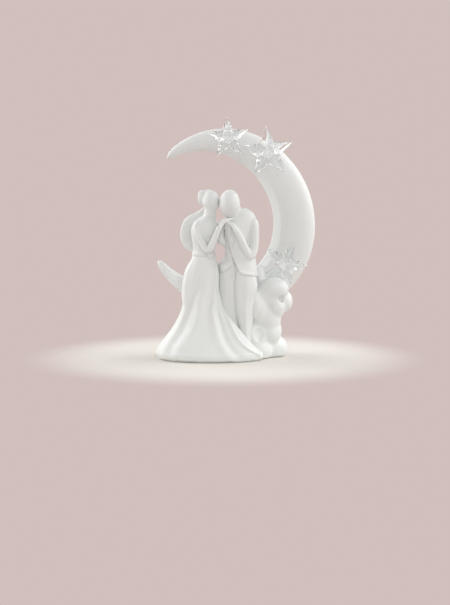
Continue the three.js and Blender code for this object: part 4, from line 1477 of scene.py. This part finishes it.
@dataclass
class Groom:
    """The groom: jacket, bowed head, arms and trousers."""

    foot: Vector = field(default_factory=lambda: Vector((9.5, -6.0, 56.5)))
    half: tuple[float, float] = (10.0, 7.0)
    tall: float = 43.5
    lapel: float = 0.9
    head_half: Vector = field(default_factory=lambda: Vector((7.0, 7.4, 9.6)))
    head_shift: Vector = field(default_factory=lambda: Vector((-6.0, -3.2, 3.8)))
    neck: float = 4.0
    sleeve: float = 3.2
    hand: float = 6.0
    leg_forward: float = 2.0
    jacket_rows: Rows = (
        (0, 1.25, 1.24, 1.36, 1),
        (0.04, 1.29, 1.27, 1.34, 1),
        (0.12, 1.31, 1.23, 1.24, 1),
        (0.18, 1.2, 1.18, 1.15, 0.98),
        (0.23, 1.03, 1.15, 1.07, 0.96),
        (0.36, 0.9, 0.93, 0.97, 0.9),
        (0.52, 0.93, 0.81, 1.06, 0.96),
        (0.7, 0.93, 0.93, 1.11, 1),
        (0.84, 0.85, 1.19, 0.94, 1),
        (0.93, 0.6, 1.04, 0.72, 0.92),
        (0.975, 0.48, 0.84, 0.55, 0.8),
        (1.015, 0.34, 0.54, 0.38, 0.6),
    )
    tail_rows: Rows = (
        (-0.27, 0.8, 0.85, -0.55, 0.9),
        (-0.2, 1.05, 1, -0.5, 0.95),
        (-0.05, 1.3, 1.1, -0.4, 1),
        (0.1, 1.42, 1, -0.3, 1),
        (0.17, 1.34, 1, -0.2, 0.9),
        (0.22, 1.16, 0.95, -0.2, 0.85),
        (0.27, 0.96, 0.85, -0.2, 0.75),
    )
    lapel_lines: tuple[Rows, ...] = (
        ((-0.63, -1.02, 0.77), (-0.66, -1.03, 0.66), (-0.6, -1.04, 0.52), (-0.44, -0.94, 0.36)),
        ((0.02, -1.1, 0.64), (-0.03, -1.1, 0.6), (-0.15, -1.05, 0.52), (-0.44, -0.94, 0.36)),
    )
    # Limbs: shares of the jacket's half width, half depth and height, then of the limb's radius.
    neck_rows: Rows = ((-0.3, 0.1, 1.03), (-0.15, 0.15, 0.96), (0, 0.2, 0.88))
    arm_rows: Rows = (
        (0.72, 0, 0.87, 1),
        (0.99, -0.3, 0.79, 1.02),
        (1.04, -0.45, 0.65, 1),
        (1.02, -0.58, 0.48, 0.96),
        (0.94, -0.72, 0.36, 0.92),
        (0.76, -0.88, 0.3, 0.9),
        (0.5, -1.08, 0.385, 0.84),
        (0.1, -1.34, 0.585, 0.72),
        (-0.22, -1.42, 0.71, 0.6),
    )
    # The hand: shares of its length from the chin, then of the radius.
    palm_rows: Rows = ((0.25, -0.85, -0.6, 0.5), (-0.15, -0.75, -0.42, 0.42), (-0.5, -0.65, -0.3, 0.3))
    far_arm_rows: Rows = (
        (-0.65, 0.5, 0.83, 0.9),
        (-1.25, 0.95, 0.74, 0.8),
        (-1.9, 1.1, 0.64, 0.7),
        (-2.5, 0.95, 0.56, 0.55),
    )
    far_hand: tuple[float, float, float] = (-0.7, 1.06, 0.38)  # on the bride's back
    far_hand_share: float = 0.42
    notch_rows: tuple[tuple[float, float], ...] = (
        (-0.46, 0.295),
        (-0.385, 0.19),
        (-0.53, 0.14),
        (-0.81, 0.09),
        (-1.14, 0.04),
        (-1.45, -0.2),
        (0.3, -0.2),
        (0.2, 0.035),
        (0.02, 0.075),
        (-0.13, 0.143),
        (-0.33, 0.247),
    )
    notch_deep: float = 6.5
    # Rolled hem: its radius, then its half width and half depth against the jacket's.
    bead: tuple[float, float, float] = (1.3, 1.2, 1.23)
    # How the hem hangs lower on the open side: slope, from where to where across, its middle, height.
    hang: tuple[float, ...] = (0.2, 10.0, 24.0, 16, 16)
    leg_low: float = 3.3
    left_leg_place: tuple[float, float, float] = (-7.8, 4.0, 5.0)  # shift, half width, half depth
    right_leg_place: tuple[float, float, float] = (4.9, 7.3, 7.2)
    creases: tuple[float, float] = (70, 84)
    press: tuple[float, float] = (0.7, 9)  # height of a pressed crease and its spread in degrees
    sag: tuple[float, float, float] = (0.22, 18, 16)  # height of the sags, their middle and spread up the leg
    leg_fade: tuple[float, float] = (2, 12)  # how far above the hem crease and sags end, and over what height
    left_leg_rows: Rows = (
        (0.3, 0.6, 2.1, 0.8, 0.8),
        (0.44, 1.1, 2.1, 0.86, 0.8),
        (0.58, 1.35, 2, 0.9, 0.86),
        (0.7, 1.4, 1.95, 0.92, 0.9),
        (0.85, 1.4, 1.9, 0.9, 1),
        (1, 1.35, 1.85, 0.72, 1.1),
        (1.14, 0.6, 1.75, 0.78, 1),
        (1.32, -0.35, 1.6, 0.62, 0.9),
    )
    right_leg_rows: Rows = (
        (0, 0.3, 0.5, 0.98, 0.4),
        (0.18, 0.42, 0.54, 0.96, 0.45),
        (0.3, 0.66, 0.58, 0.97, 0.5),
        (0.46, 0.9, 0.66, 0.97, 0.58),
        (0.6, 1.05, 0.74, 1, 0.7),
        (0.72, 1.12, 0.86, 1.05, 0.75),
        (0.86, 1.12, 1.08, 1.08, 0.85),
        (1, 1.05, 0.94, 0.85, 0.95),
        (1.14, 0.9, 0.8, 0.75, 0.9),
        (1.32, 0.8, 0.6, 0.75, 0.9),
    )

    def spot(self, row: Shares) -> Vector:
        """Point of the jacket from shares of its half width, half depth and height."""
        return self.foot + Vector((row[0] * self.half[0], row[1] * self.half[1], row[2] * self.tall))

    @property
    def head(self) -> Vector:
        """Middle of the bowed head."""
        return self.foot + Vector((0, 0, self.tall)) + self.head_shift

    @property
    def chin(self) -> Vector:
        """Lowest point of the head."""
        return self.head - Vector((0, 0, self.head_half.z))

    def _oval(self, rows: Sequence[Shares], around: int, along: int) -> Oval:
        """Sections of the jacket from rows of shares.

        Args:
            rows: Height, left, right, front and back.
            around: Faces round it.
            along: Faces along it.

        Returns:
            The stack of sections.
        """
        return Oval(sections(self.foot, self.half, self.tall, rows), around, along)

    def jacket(self, grow: float = 0.0) -> list[Form]:
        """Jacket body, tails and lapels.

        Args:
            grow: How much further out the skin lies.

        Returns:
            The forms that melt into the jacket, its body first.
        """
        body = self._oval(self.jacket_rows, 80, 60).form(grow)
        tails = self._oval(self.tail_rows, 48, 16).form(grow)
        lapels = [
            Limb(tuple(Station(self.spot(r), self.lapel) for r in line), around=16).form(grow)
            for line in self.lapel_lines
        ]
        return [body, tails, *lapels]

    def hem_bead(self) -> Form:
        """Rolled edge along the hem on the open side, which dies away at the back.

        Returns:
            The form.
        """
        x, y, z = self.foot
        w, d = self.half
        radius, wide, deep = self.bead
        stations = []
        for degrees in range(-60, 91, 10):
            turn = math.radians(degrees)
            place = Vector((x + wide * w * math.cos(turn), y - 0.1 * d - deep * d * math.sin(turn), z + 1.0))
            stations.append(Station(self.swing(place), radius * min(1.0, 0.15 + (degrees + 60) / 50)))
        return Limb(tuple(stations), around=16, steps=4).form()

    def swing(self, point: Vector) -> Vector:
        """Place of a point of the hem, which hangs lower on the open side.

        Args:
            point: A point of the jacket as it would hang straight.

        Returns:
            Its new place.
        """
        slope, near, far, middle, tall = self.hang
        fade = 1 - min(max((point.z - self.foot.z) / tall, 0.0), 1.0)
        drop = slope * (min(max(point.x, near), far) - middle) * fade * fade * (3 - 2 * fade)
        return point - Vector((0, 0, drop))

    def notch(self) -> Form:
        """Cut-away between the two front flaps.

        Returns:
            The cutter.
        """
        x, y, z = self.foot
        w, d = self.half
        front, run = y - 1.4 * d, self.notch_deep + d
        bm = bmesh.new()
        outline = [(x + a * w, front + self.notch_deep - run, z + b * self.tall) for a, b in self.notch_rows]
        face = bm.faces.new([bm.verts.new(corner) for corner in outline])
        pushed = bmesh.ops.extrude_face_region(bm, geom=[face])
        moving = [g for g in pushed["geom"] if isinstance(g, bmesh.types.BMVert)]
        bmesh.ops.translate(bm, vec=(0, run, 0), verts=moving)
        bmesh.ops.triangulate(bm, faces=bm.faces)
        return Form.of(bm)

    def head_form(self, grow: float = 0.0) -> Form:
        """Smooth bowed head without features."""
        return Form.egg(self.head, self.head_half + Vector((grow, grow, grow)), chin=0.3, fine=96)

    def neck_form(self, grow: float = 0.0) -> Form:
        """Neck inside the collar."""
        return Limb(tuple(Station(self.spot(r), self.neck) for r in self.neck_rows)).form(grow)

    def near_arm(self, grow: float = 0.0) -> Form:
        """Near arm in its sleeve, the hand under the chin.

        Args:
            grow: How much further out the skin lies.

        Returns:
            The arm.
        """
        stations = [Station(self.spot(r), self.sleeve * r[3]) for r in self.arm_rows]
        stations += [Station(self.chin + Vector(r[:3]) * self.hand, self.sleeve * r[3]) for r in self.palm_rows]
        return Limb(tuple(stations), around=36).form(grow)

    def far_arm(self, bride_spot: Callable[[Shares], Vector], grow: float = 0.0) -> Form:
        """Far arm behind the bride's back.

        Args:
            bride_spot: Point of the bride's torso from shares.
            grow: How much further out the skin lies.

        Returns:
            The arm.
        """
        stations = [Station(self.spot(r), self.sleeve * r[3]) for r in self.far_arm_rows]
        stations.append(Station(bride_spot(self.far_hand), self.sleeve * self.far_hand_share))
        return Limb(tuple(stations), around=32).form(grow)

    def leg(self, rows: Sequence[Shares], where: tuple[float, float, float], crease: float, grow: float) -> Form:
        """One trouser leg with a pressed crease.

        Args:
            rows: Height share, left, right, front and back.
            where: How far to the side of the jacket's middle, half width and half depth.
            crease: Angle of the crease in degrees.
            grow: How much further out the skin lies.

        Returns:
            The form.
        """
        low, top = self.leg_low, self.foot.z
        shift, *half = where
        foot = (self.foot.x + shift, self.foot.y - self.leg_forward, low)
        tall, spread = self.press
        over, run = self.leg_fade
        deep, middle, far = self.sag

        def ridge(angle: float, z: float) -> float:
            """Height of the crease and of the soft sags above the shoe.

            Args:
                angle: Angle in degrees.
                z: Height in millimetres.

            Returns:
                How far they stand out, in millimetres.
            """
            fade = min(max((top + over - z) / run, 0), 1)
            press = tall * gauss(angle - crease, spread) * fade
            sag = deep * math.sin(z * 0.55 + angle / 40) * gauss(z - middle, far) * fade
            return press + sag

        return Oval(sections(foot, half, top - low, rows), 72, 64).form(grow, ridge)

    def left_leg(self, grow: float = 0.0) -> Form:
        """Left trouser leg."""
        return self.leg(self.left_leg_rows, self.left_leg_place, self.creases[0], grow)

    def right_leg(self, grow: float = 0.0) -> Form:
        """Right trouser leg, bent a little at the knee."""
        return self.leg(self.right_leg_rows, self.right_leg_place, self.creases[1], grow)


@dataclass
class CloudBanks:
    """Two banks of melted lobes, before and behind the moon."""

    x: float = 18.0
    y: float = 9.0
    reach: float = 28.0
    height: float = 53.95
    lift: float = 0.6
    front_lobes: Rows = (
        (0.52, -0.37, 0.86, 0.37, 0.28, 0.15),
        (0.8, -0.18, 0.7, 0.19, 0.27, 0.13),
        (0.57, -0.32, 0.65, 0.25, 0.3, 0.16),
        (0.2, -0.44, 0.6, 0.2, 0.27, 0.18),
        (0.42, -0.3, 0.77, 0.42, 0.3, 0.2),
        (0.35, -0.28, 0.5, 0.36, 0.36, 0.22),
        (0.39, -0.16, 0.33, 0.34, 0.44, 0.2),
        (0.34, 0, 0.1, 0.54, 0.42, 0.2),
        (0.1, -0.26, 0.1, 0.42, 0.5, 0.2),
        (0.06, -0.3, 0.26, 0.34, 0.48, 0.22),
        (0.12, -0.1, 0.5, 0.42, 0.42, 0.24),
        (0.1, -0.4, 0.66, 0.22, 0.36, 0.21),
        (0.2, -0.25, 1, 0.14, 0.16, 0.16),
    )
    back_lobes: Rows = (
        (0.32, 0.26, 0.68, 0.49, 0.42, 0.21),
        (0.31, 0.34, 0.34, 0.43, 0.46, 0.26),
        (0.34, 0.22, 0.08, 0.52, 0.54, 0.17),
        (-0.4, 0.34, 0.52, 0.56, 0.42, 0.25),
        (-0.35, 0.44, 0.3, 0.64, 0.42, 0.22),
        (-0.35, 0.3, 0.1, 0.68, 0.55, 0.2),
        (-1.15, 0.28, 0.42, 0.48, 0.4, 0.24),
        (-1.15, 0.26, 0.1, 0.58, 0.46, 0.2),
    )
    # Hollows pressed into the front bank: middle and radii.
    scoops: Rows = ((24.2, -12.4, 18.0, 4.6, 4.6, 6.8), (37.9, -5.1, 40.2, 2.2, 2.6, 3.0))
    lobe_melt: tuple[float, int] = (0.6, 5)  # grain and rounds of smoothing
    scoop_melt: tuple[float, int] = (0.5, 6)
    front_grow: float = 0.3  # how much further out a bank's lobes lie
    back_grow: float = -0.25
    # Blocks that part the banks: gap at the moon's middle plane, reach in depth, aside and up.
    gap: float = 0.05
    far: float = 60.0
    wide: float = 80.0
    top: float = 90.0

    def lobes(self, rows: Sequence[Shares], grow: float) -> list[Form]:
        """Eggs from rows of shares.

        Args:
            rows: Middle, then radii.
            grow: How much further out the skin lies.

        Returns:
            The lobes.
        """
        found = []
        for x, y, z, wide, deep, tall in rows:
            middle = Vector((self.x + x * self.reach, self.y + y * self.reach, z * self.height))
            radii = Vector((wide * self.reach + grow, deep * self.reach + grow, tall * self.height + grow))
            found.append(Form.egg(middle, radii, fine=40))
        return found

    def bank(self, rows: Sequence[Shares], grow: float) -> Form:
        """One bank, its lobes melted into each other and the scoops pressed in.

        Args:
            rows: Rows of shares of its lobes.
            grow: How much further out the skin lies.

        Returns:
            The form.
        """
        melted = Form.fused(self.lobes(rows, grow), *self.lobe_melt)
        presses = [Form.egg(Vector(r[:3]), Vector(r[3:]), fine=32) for r in self.scoops]
        return Form.fused([melted.cut(*presses)], *self.scoop_melt)

    def half_block(self, front: bool) -> Form:
        """Block that keeps one side of the moon's middle plane, above the table.

        Args:
            front: Whether it is the side in front.

        Returns:
            The block.
        """
        low = Vector((self.x - self.wide, self.y - self.far if front else self.y + self.gap, self.lift))
        high = Vector((self.x + self.wide, self.y - self.gap if front else self.y + self.far, self.top))
        return Form.box(low, high)


@dataclass(frozen=True)
class StarSpec:
    """One star: its place on the moon, its size, how it is turned and how it leans."""

    name: str
    radius: float
    thickness: float
    angle: float
    across: float
    turn: float
    lean: float


@dataclass
class ClearStars:
    """Three moulded stars and the glue behind them."""

    moon: CrescentMoon
    specs: tuple[StarSpec, ...] = (
        StarSpec("star_upper_left", 14.6, 6.6, 75.8, 0.32, 94, 3),
        StarSpec("star_upper_right", 18.2, 7.6, 47.7, 0.46, 95, -2),
        StarSpec("star_lower", 16.0, 6.6, -30.3, -0.02, 66.5, -3),
    )
    waist: float = 0.43
    rim: float = 0.7
    glue: float = 3.2
    bead: float = 1.1
    points: int = 5
    bevel: float = 0.32
    crease: float = 18
    hair: float = 0.02  # how much the cutters of the glue are larger than what they stand for
    # The glue's outline: steps from its waist and shares of its radius.
    glue_rows: tuple[tuple[float, float], ...] = ((-1.4, 1.12), (0, 0.86), (1.6, 1.15))
    glue_ends: tuple[float, float] = (1.0, 1.1)
    glue_uneven: float = 0.04

    def place(self, spec: StarSpec) -> Vector:
        """Middle of a star.

        Args:
            spec: Which star.

        Returns:
            The point.
        """
        shares = [*self.moon.section]
        i = max(next(k for k, (at, _) in enumerate(shares) if at > spec.across) - 1, 0)
        (a, p), (b, q) = shares[i], shares[i + 1]
        deep = blend(p, q, (spec.across - a) / (b - a))
        on_moon = self.moon.point(math.radians(spec.angle), spec.across, -deep)
        return on_moon + Vector((0, -self.bead - spec.thickness / 2, 0))

    def star(self, spec: StarSpec, grow: float = 0.0, soft: bool = True) -> Form:
        """Puffed star with a ridge to each point, front and back.

        Args:
            spec: Which star.
            grow: How much further out the skin lies.
            soft: Whether the edges are rounded as a mould rounds them.

        Returns:
            The form.
        """
        bm = bmesh.new()
        faces = []
        for side in (-1, 1):
            made = bmesh.ops.create_circle(bm, cap_ends=True, cap_tris=True, segments=2 * self.points, radius=1)
            for vert in made["verts"]:
                reach = math.hypot(vert.co.x, vert.co.y)
                step = int((math.atan2(vert.co.y, vert.co.x) % (2 * math.pi)) / (math.pi / self.points))
                if reach < 0.5:
                    vert.co = Vector((0, side * (spec.thickness / 2 + grow), 0))
                    continue
                out = (spec.radius if step % 2 == 0 else spec.radius * self.waist) + grow
                turn = step * math.pi / self.points
                vert.co = Vector((out * math.cos(turn), side * (self.rim / 2 + grow), out * math.sin(turn)))
            rim = [e for e in bm.edges if e.is_boundary and all(v in made["verts"] for v in e.verts)]
            faces.append(rim)
        bmesh.ops.bridge_loops(bm, edges=faces[0] + faces[1])
        bmesh.ops.recalc_face_normals(bm, faces=bm.faces)
        if soft:
            bmesh.ops.bevel(
                bm,
                geom=[*bm.edges],
                offset=self.bevel,
                offset_type="OFFSET",
                segments=3,
                profile=0.5,
                affect="EDGES",
                material=-1,
                clamp_overlap=True,
            )
        turn = Matrix.Rotation(-math.radians(spec.turn), 4, "Y")
        lean = Matrix.Rotation(math.radians(spec.lean), 4, "Z")
        bmesh.ops.transform(bm, matrix=Matrix.Translation(self.place(spec)) @ lean @ turn, verts=bm.verts)
        return Form.of(bm)

    def glue_drop(self, spec: StarSpec) -> Form:
        """Bead of glue squeezed between a star and the moon, waisted in the middle.

        Args:
            spec: Which star.

        Returns:
            The form.
        """
        place = self.place(spec)
        far = spec.thickness / 2 + self.bead + self.moon.depth / 4
        mid = spec.thickness / 2 + self.bead * 0.5
        first, last = self.glue_ends
        rows = Profile(((0, first), *((mid + step, share) for step, share in self.glue_rows), (far, last)))
        steps = 30

        def surface(u: float, v: float) -> Vector:
            """Point of the bead's skin, whose first and last rows close the ends.

            Args:
                u: Share of the way round.
                v: Share of the way from the star's middle into the moon.

            Returns:
                The point.
            """
            i = round(v * (steps + 2))
            t = min(max((i - 1) / steps, 0.0), 1.0)
            share = 0.0 if i in (0, steps + 2) else 1.0
            radius = self.glue * rows.at(t * far)[0] * share * (1 + self.glue_uneven * math.sin(4 * math.pi * u))
            angle = 2 * math.pi * u
            return place + Vector((radius * math.cos(angle), t * far, radius * math.sin(angle)))

        return Form.wrap(surface, 36, steps + 2)

    def build(self) -> None:
        """Makes each star and its glue."""
        moon = self.moon.solid(self.hair)
        for spec in self.specs:
            glue = self.glue_drop(spec).cut(self.star(spec, self.hair, soft=False), moon).main_body()
            glue.piece(f"{spec.name}_bead", f"glue_{spec.name}", Slot.GLUE, GLUE.material())
            star = self.star(spec)
            star.piece(f"{spec.name}_moulding", spec.name, Slot.ACRYLIC, ACRYLIC.material(), self.crease)


@dataclass
class Topper:
    """The whole cake topper."""

    skirt: Skirt = field(default_factory=Skirt)
    moon: CrescentMoon = field(default_factory=CrescentMoon)
    bride: Bride = field(default_factory=Bride)
    groom: Groom = field(default_factory=Groom)
    clouds: CloudBanks = field(default_factory=CloudBanks)
    lute: float = 0.04
    figure_melt: tuple[float, int] = (0.42, 5)  # grain and rounds of smoothing
    veil_melt: tuple[float, int] = (0.4, 3)
    bun_melt: tuple[float, int] = (0.5, 2)
    leg_rub: int = 6  # rounds of smoothing
    arm_rub: int = 4
    # How much larger the regions are that part a melted figure into its castings.
    head_region: float = 0.5
    arm_region: float = 0.4
    bun_region: float = 0.35
    collar: float = 1.04  # height share at which head and bodice part
    star_room: float = 0.3  # gap that the front bank keeps from the lower star
    crown_room: tuple[float, float] = (60.0, 200.0)  # how far the head's block reaches aside and up

    def build(self) -> None:
        """Builds each sub-assembly, from the largest castings to the smallest."""
        self.skirt.build()
        self.moon.build()
        skirt, moon = self.skirt.solid(self.lute), self.moon.solid(self.lute)
        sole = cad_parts["base_plate"]
        sole.data.materials.clear()
        sole.data.materials.append(PORCELAIN.material())
        groom = self._groom(skirt, moon)
        self._bride(skirt, groom)
        self._clouds(skirt, moon, groom)
        ClearStars(self.moon).build()

    def _groom(self, skirt: Form, moon: Form) -> Form:
        """Makes the groom's castings.

        Args:
            skirt: The skirt, a hair larger.
            moon: The moon, a hair larger.

        Returns:
            The groom as one form, for cutting his neighbours.
        """
        groom, bride = self.groom, self.bride
        left, right = groom.left_leg().softened(self.leg_rub), groom.right_leg().softened(self.leg_rub)
        body, *rest = groom.jacket()
        body = body.moved(groom.swing)
        parts = [body, *rest, groom.hem_bead(), groom.head_form(), groom.neck_form(), groom.near_arm()]
        whole = Form.fused(parts, *self.figure_melt).cut(groom.notch()).softened(1).cut(skirt, moon)
        head = whole.kept(groom.head_form(self.head_region))
        trunk = whole.cut(groom.head_form(self.head_region))
        arm = trunk.kept(groom.near_arm(self.arm_region))
        jacket = trunk.cut(groom.near_arm(self.arm_region))
        cast(head, "groom_head_casting", "groom_head")
        cast(arm, "groom_near_arm_casting", "groom_near_arm")
        cast(jacket, "jacket_casting", "groom_jacket")
        cast(right.cut(skirt, whole), "right_leg_casting", "groom_right_leg")
        cast(left.cut(skirt, moon, whole, groom.right_leg(self.lute)), "left_leg_casting", "groom_left_leg")
        torso = bride.torso(self.lute)
        far = groom.far_arm(bride.spot).softened(self.arm_rub).cut(whole, torso, bride.head_form(self.lute))
        cast(far, "groom_far_arm_casting", "groom_far_arm")
        return whole

    def _bride(self, skirt: Form, groom: Form) -> None:
        """Makes the bride's castings above the waist.

        Args:
            skirt: The skirt, a hair larger.
            groom: The groom as one form.
        """
        bride, chin = self.bride, self.groom.chin
        parts = [bride.torso(), bride.sash_band(), *bride.knot_forms(), bride.head_form(), bride.neck_form()]
        parts += [bride.near_arm(chin), *bride.bun_forms()]
        whole = Form.fused(parts, *self.figure_melt).cut(skirt, groom)
        side, high = self.crown_room
        top = Form.box(Vector((-side, -side, bride.spot((0, 0, self.collar)).z)), Vector((side, side, high)))
        bun_region = Form.fused(bride.bun_forms(self.bun_region), *self.bun_melt)
        arm_region = bride.near_arm(chin, self.arm_region)
        crown = whole.kept(top)
        trunk = whole.cut(top)
        cast(crown.kept(bun_region), "bun_casting", "bride_hair_bun")
        cast(crown.cut(bun_region), "bride_head_casting", "bride_head")
        cast(trunk.kept(arm_region), "bride_near_arm_casting", "bride_near_arm")
        cast(trunk.cut(arm_region), "bodice_casting", "bride_bodice")
        far_region = self.groom.far_arm(bride.spot, self.lute)
        far = bride.far_arm(self.groom.spot).cut(whole, groom, far_region)
        cast(far, "bride_far_arm_casting", "bride_far_arm")
        veil = Form.fused([bride.veil()], *self.veil_melt).cut(whole, far_region, skirt)
        cast(veil, "veil_casting", "bride_veil")

    def _clouds(self, skirt: Form, moon: Form, groom: Form) -> None:
        """Makes both cloud banks.

        Args:
            skirt: The skirt, a hair larger.
            moon: The moon, a hair larger.
            groom: The groom as one form.
        """
        clouds = self.clouds
        legs = (self.groom.left_leg(self.lute), self.groom.right_leg(self.lute))
        stars = ClearStars(self.moon)
        star = stars.star(stars.specs[2], self.star_room, soft=False)
        front = clouds.bank(clouds.front_lobes, clouds.front_grow).kept(clouds.half_block(True))
        front = front.cut(moon, skirt, *legs, groom, star)
        back = clouds.bank(clouds.back_lobes, clouds.back_grow).kept(clouds.half_block(False))
        back = back.cut(moon, skirt, *legs)
        cast(front, "front_cloud_casting", "cloud_front")
        cast(back, "back_cloud_casting", "cloud_back")


@dataclass(frozen=True)
class Lamp:
    """One soft lamp: its name, place, size in metres and power in watts."""

    name: str
    place: tuple[float, float, float]
    size: float
    power: float

    def hang(self, aim: Vector) -> None:
        """Places the lamp, unseen by the camera.

        Args:
            aim: Point that it is turned to.
        """
        data = bpy.data.lights.new(self.name, "AREA")
        data.size = self.size
        data.energy = self.power
        thing = bpy.data.objects.new(self.name, data)
        thing.location = self.place
        thing.rotation_euler = (aim - Vector(self.place)).to_track_quat("-Z", "Y").to_euler()
        thing.visible_camera = False
        bpy.context.scene.collection.objects.link(thing)


@dataclass
class Studio:
    """Floor, backdrop, lamps and camera."""

    blush: tuple[float, float, float] = (0.635, 0.525, 0.502)
    floor: tuple[float, float, float] = (0.71, 0.68, 0.63)
    floor_radius: float = 0.5
    floor_roughness: float = 0.8
    eye: tuple[float, float, float] = (0.0004, -1.197, 0.163)
    pitch: float = 84.0
    lens: float = 106.6
    sensor: float = 36
    clip: tuple[float, float] = (0.01, 20)
    aim: tuple[float, float, float] = (0, 0, 0.08)  # point that every lamp is turned to
    soft: tuple[float, float, float] = (1, 0.985, 0.975)
    soft_power: float = 0.29
    fade: tuple[float, float] = (0.08, 0.14)  # radii in metres between which the floor fades
    # Large soft lamps all round, as in a light tent, the right side a little stronger.
    rig: tuple[Lamp, ...] = (
        Lamp("front", (0.15, -1.0, 0.4), 0.8, 4.2),
        Lamp("right", (0.85, 0.05, 0.6), 0.9, 7.4),
        Lamp("left", (-0.85, 0.05, 0.4), 0.9, 5.4),
        Lamp("back_right", (0.7, 0.6, 0.6), 0.8, 2.8),
        Lamp("back_left", (-0.7, 0.6, 0.6), 0.8, 4.4),
    )

    def camera(self) -> None:
        """Camera at the photograph's angle."""
        data = bpy.data.cameras.new("eye")
        data.lens = self.lens
        data.sensor_width = self.sensor
        data.clip_start, data.clip_end = self.clip
        thing = bpy.data.objects.new("eye", data)
        thing.location = self.eye
        thing.rotation_euler = (math.radians(self.pitch), 0, 0)
        bpy.context.scene.collection.objects.link(thing)
        bpy.context.scene.camera = thing

    def world(self) -> None:
        """Soft light all round, and the backdrop's colour for the camera, gloss and glass."""
        world = bpy.data.worlds.new("studio")
        bpy.context.scene.world = world
        world.use_nodes = True
        nodes, links = world.node_tree.nodes, world.node_tree.links
        nodes.clear()
        out, path = nodes.new("ShaderNodeOutputWorld"), nodes.new("ShaderNodeLightPath")
        soft, seen = nodes.new("ShaderNodeBackground"), nodes.new("ShaderNodeBackground")
        soft.inputs["Color"].default_value = (*self.soft, 1)
        soft.inputs["Strength"].default_value = self.soft_power
        seen.inputs["Color"].default_value = (*self.blush, 1)
        glossy, clear = nodes.new("ShaderNodeMath"), nodes.new("ShaderNodeMath")
        for node in (glossy, clear):
            node.operation = "MAXIMUM"
        mix = nodes.new("ShaderNodeMixShader")
        links.new(path.outputs["Is Camera Ray"], glossy.inputs[0])
        links.new(path.outputs["Is Glossy Ray"], glossy.inputs[1])
        links.new(glossy.outputs[0], clear.inputs[0])
        links.new(path.outputs["Is Transmission Ray"], clear.inputs[1])
        links.new(clear.outputs[0], mix.inputs[0])
        links.new(soft.outputs[0], mix.inputs[1])
        links.new(seen.outputs[0], mix.inputs[2])
        links.new(mix.outputs[0], out.inputs["Surface"])

    def ground(self) -> None:
        """Plain pale floor that fades into the backdrop at its rim."""
        bm = bmesh.new()
        bmesh.ops.create_circle(bm, cap_ends=True, segments=96, radius=self.floor_radius)
        mesh = bpy.data.meshes.new("floor")
        bm.to_mesh(mesh)
        bm.free()
        material = bpy.data.materials.new("plain_floor")
        material.use_nodes = True
        nodes, links = material.node_tree.nodes, material.node_tree.links
        shader = next(n for n in nodes if n.type == "BSDF_PRINCIPLED")
        out = next(n for n in nodes if n.type == "OUTPUT_MATERIAL")
        shader.inputs["Base Color"].default_value = (*self.floor, 1)
        shader.inputs["Roughness"].default_value = self.floor_roughness
        glow = nodes.new("ShaderNodeEmission")
        glow.inputs["Color"].default_value = (*self.blush, 1)
        where, length = nodes.new("ShaderNodeTexCoord"), nodes.new("ShaderNodeVectorMath")
        fade = nodes.new("ShaderNodeMapRange")
        length.operation = "LENGTH"
        fade.interpolation_type = "SMOOTHSTEP"
        fade.inputs["From Min"].default_value, fade.inputs["From Max"].default_value = self.fade
        mix = nodes.new("ShaderNodeMixShader")
        links.new(where.outputs["Object"], length.inputs[0])
        links.new(length.outputs["Value"], fade.inputs["Value"])
        links.new(fade.outputs["Result"], mix.inputs[0])
        links.new(shader.outputs[0], mix.inputs[1])
        links.new(glow.outputs[0], mix.inputs[2])
        links.new(mix.outputs[0], out.inputs["Surface"])
        mesh.materials.append(material)
        thing = bpy.data.objects.new("floor", mesh)
        bpy.context.scene.collection.objects.link(thing)

    def build(self) -> None:
        """Sets the stage."""
        bpy.context.scene.view_settings.view_transform = "Standard"
        self.camera()
        for lamp in self.rig:
            lamp.hang(Vector(self.aim))
        self.world()
        self.ground()


def main() -> None:
    """Builds the studio and the topper."""
    logging.basicConfig(level=logging.INFO, format="%(name)s %(message)s")
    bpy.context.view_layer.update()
    Studio().build()
    Topper().build()


if __name__ == "__main__":
    main()
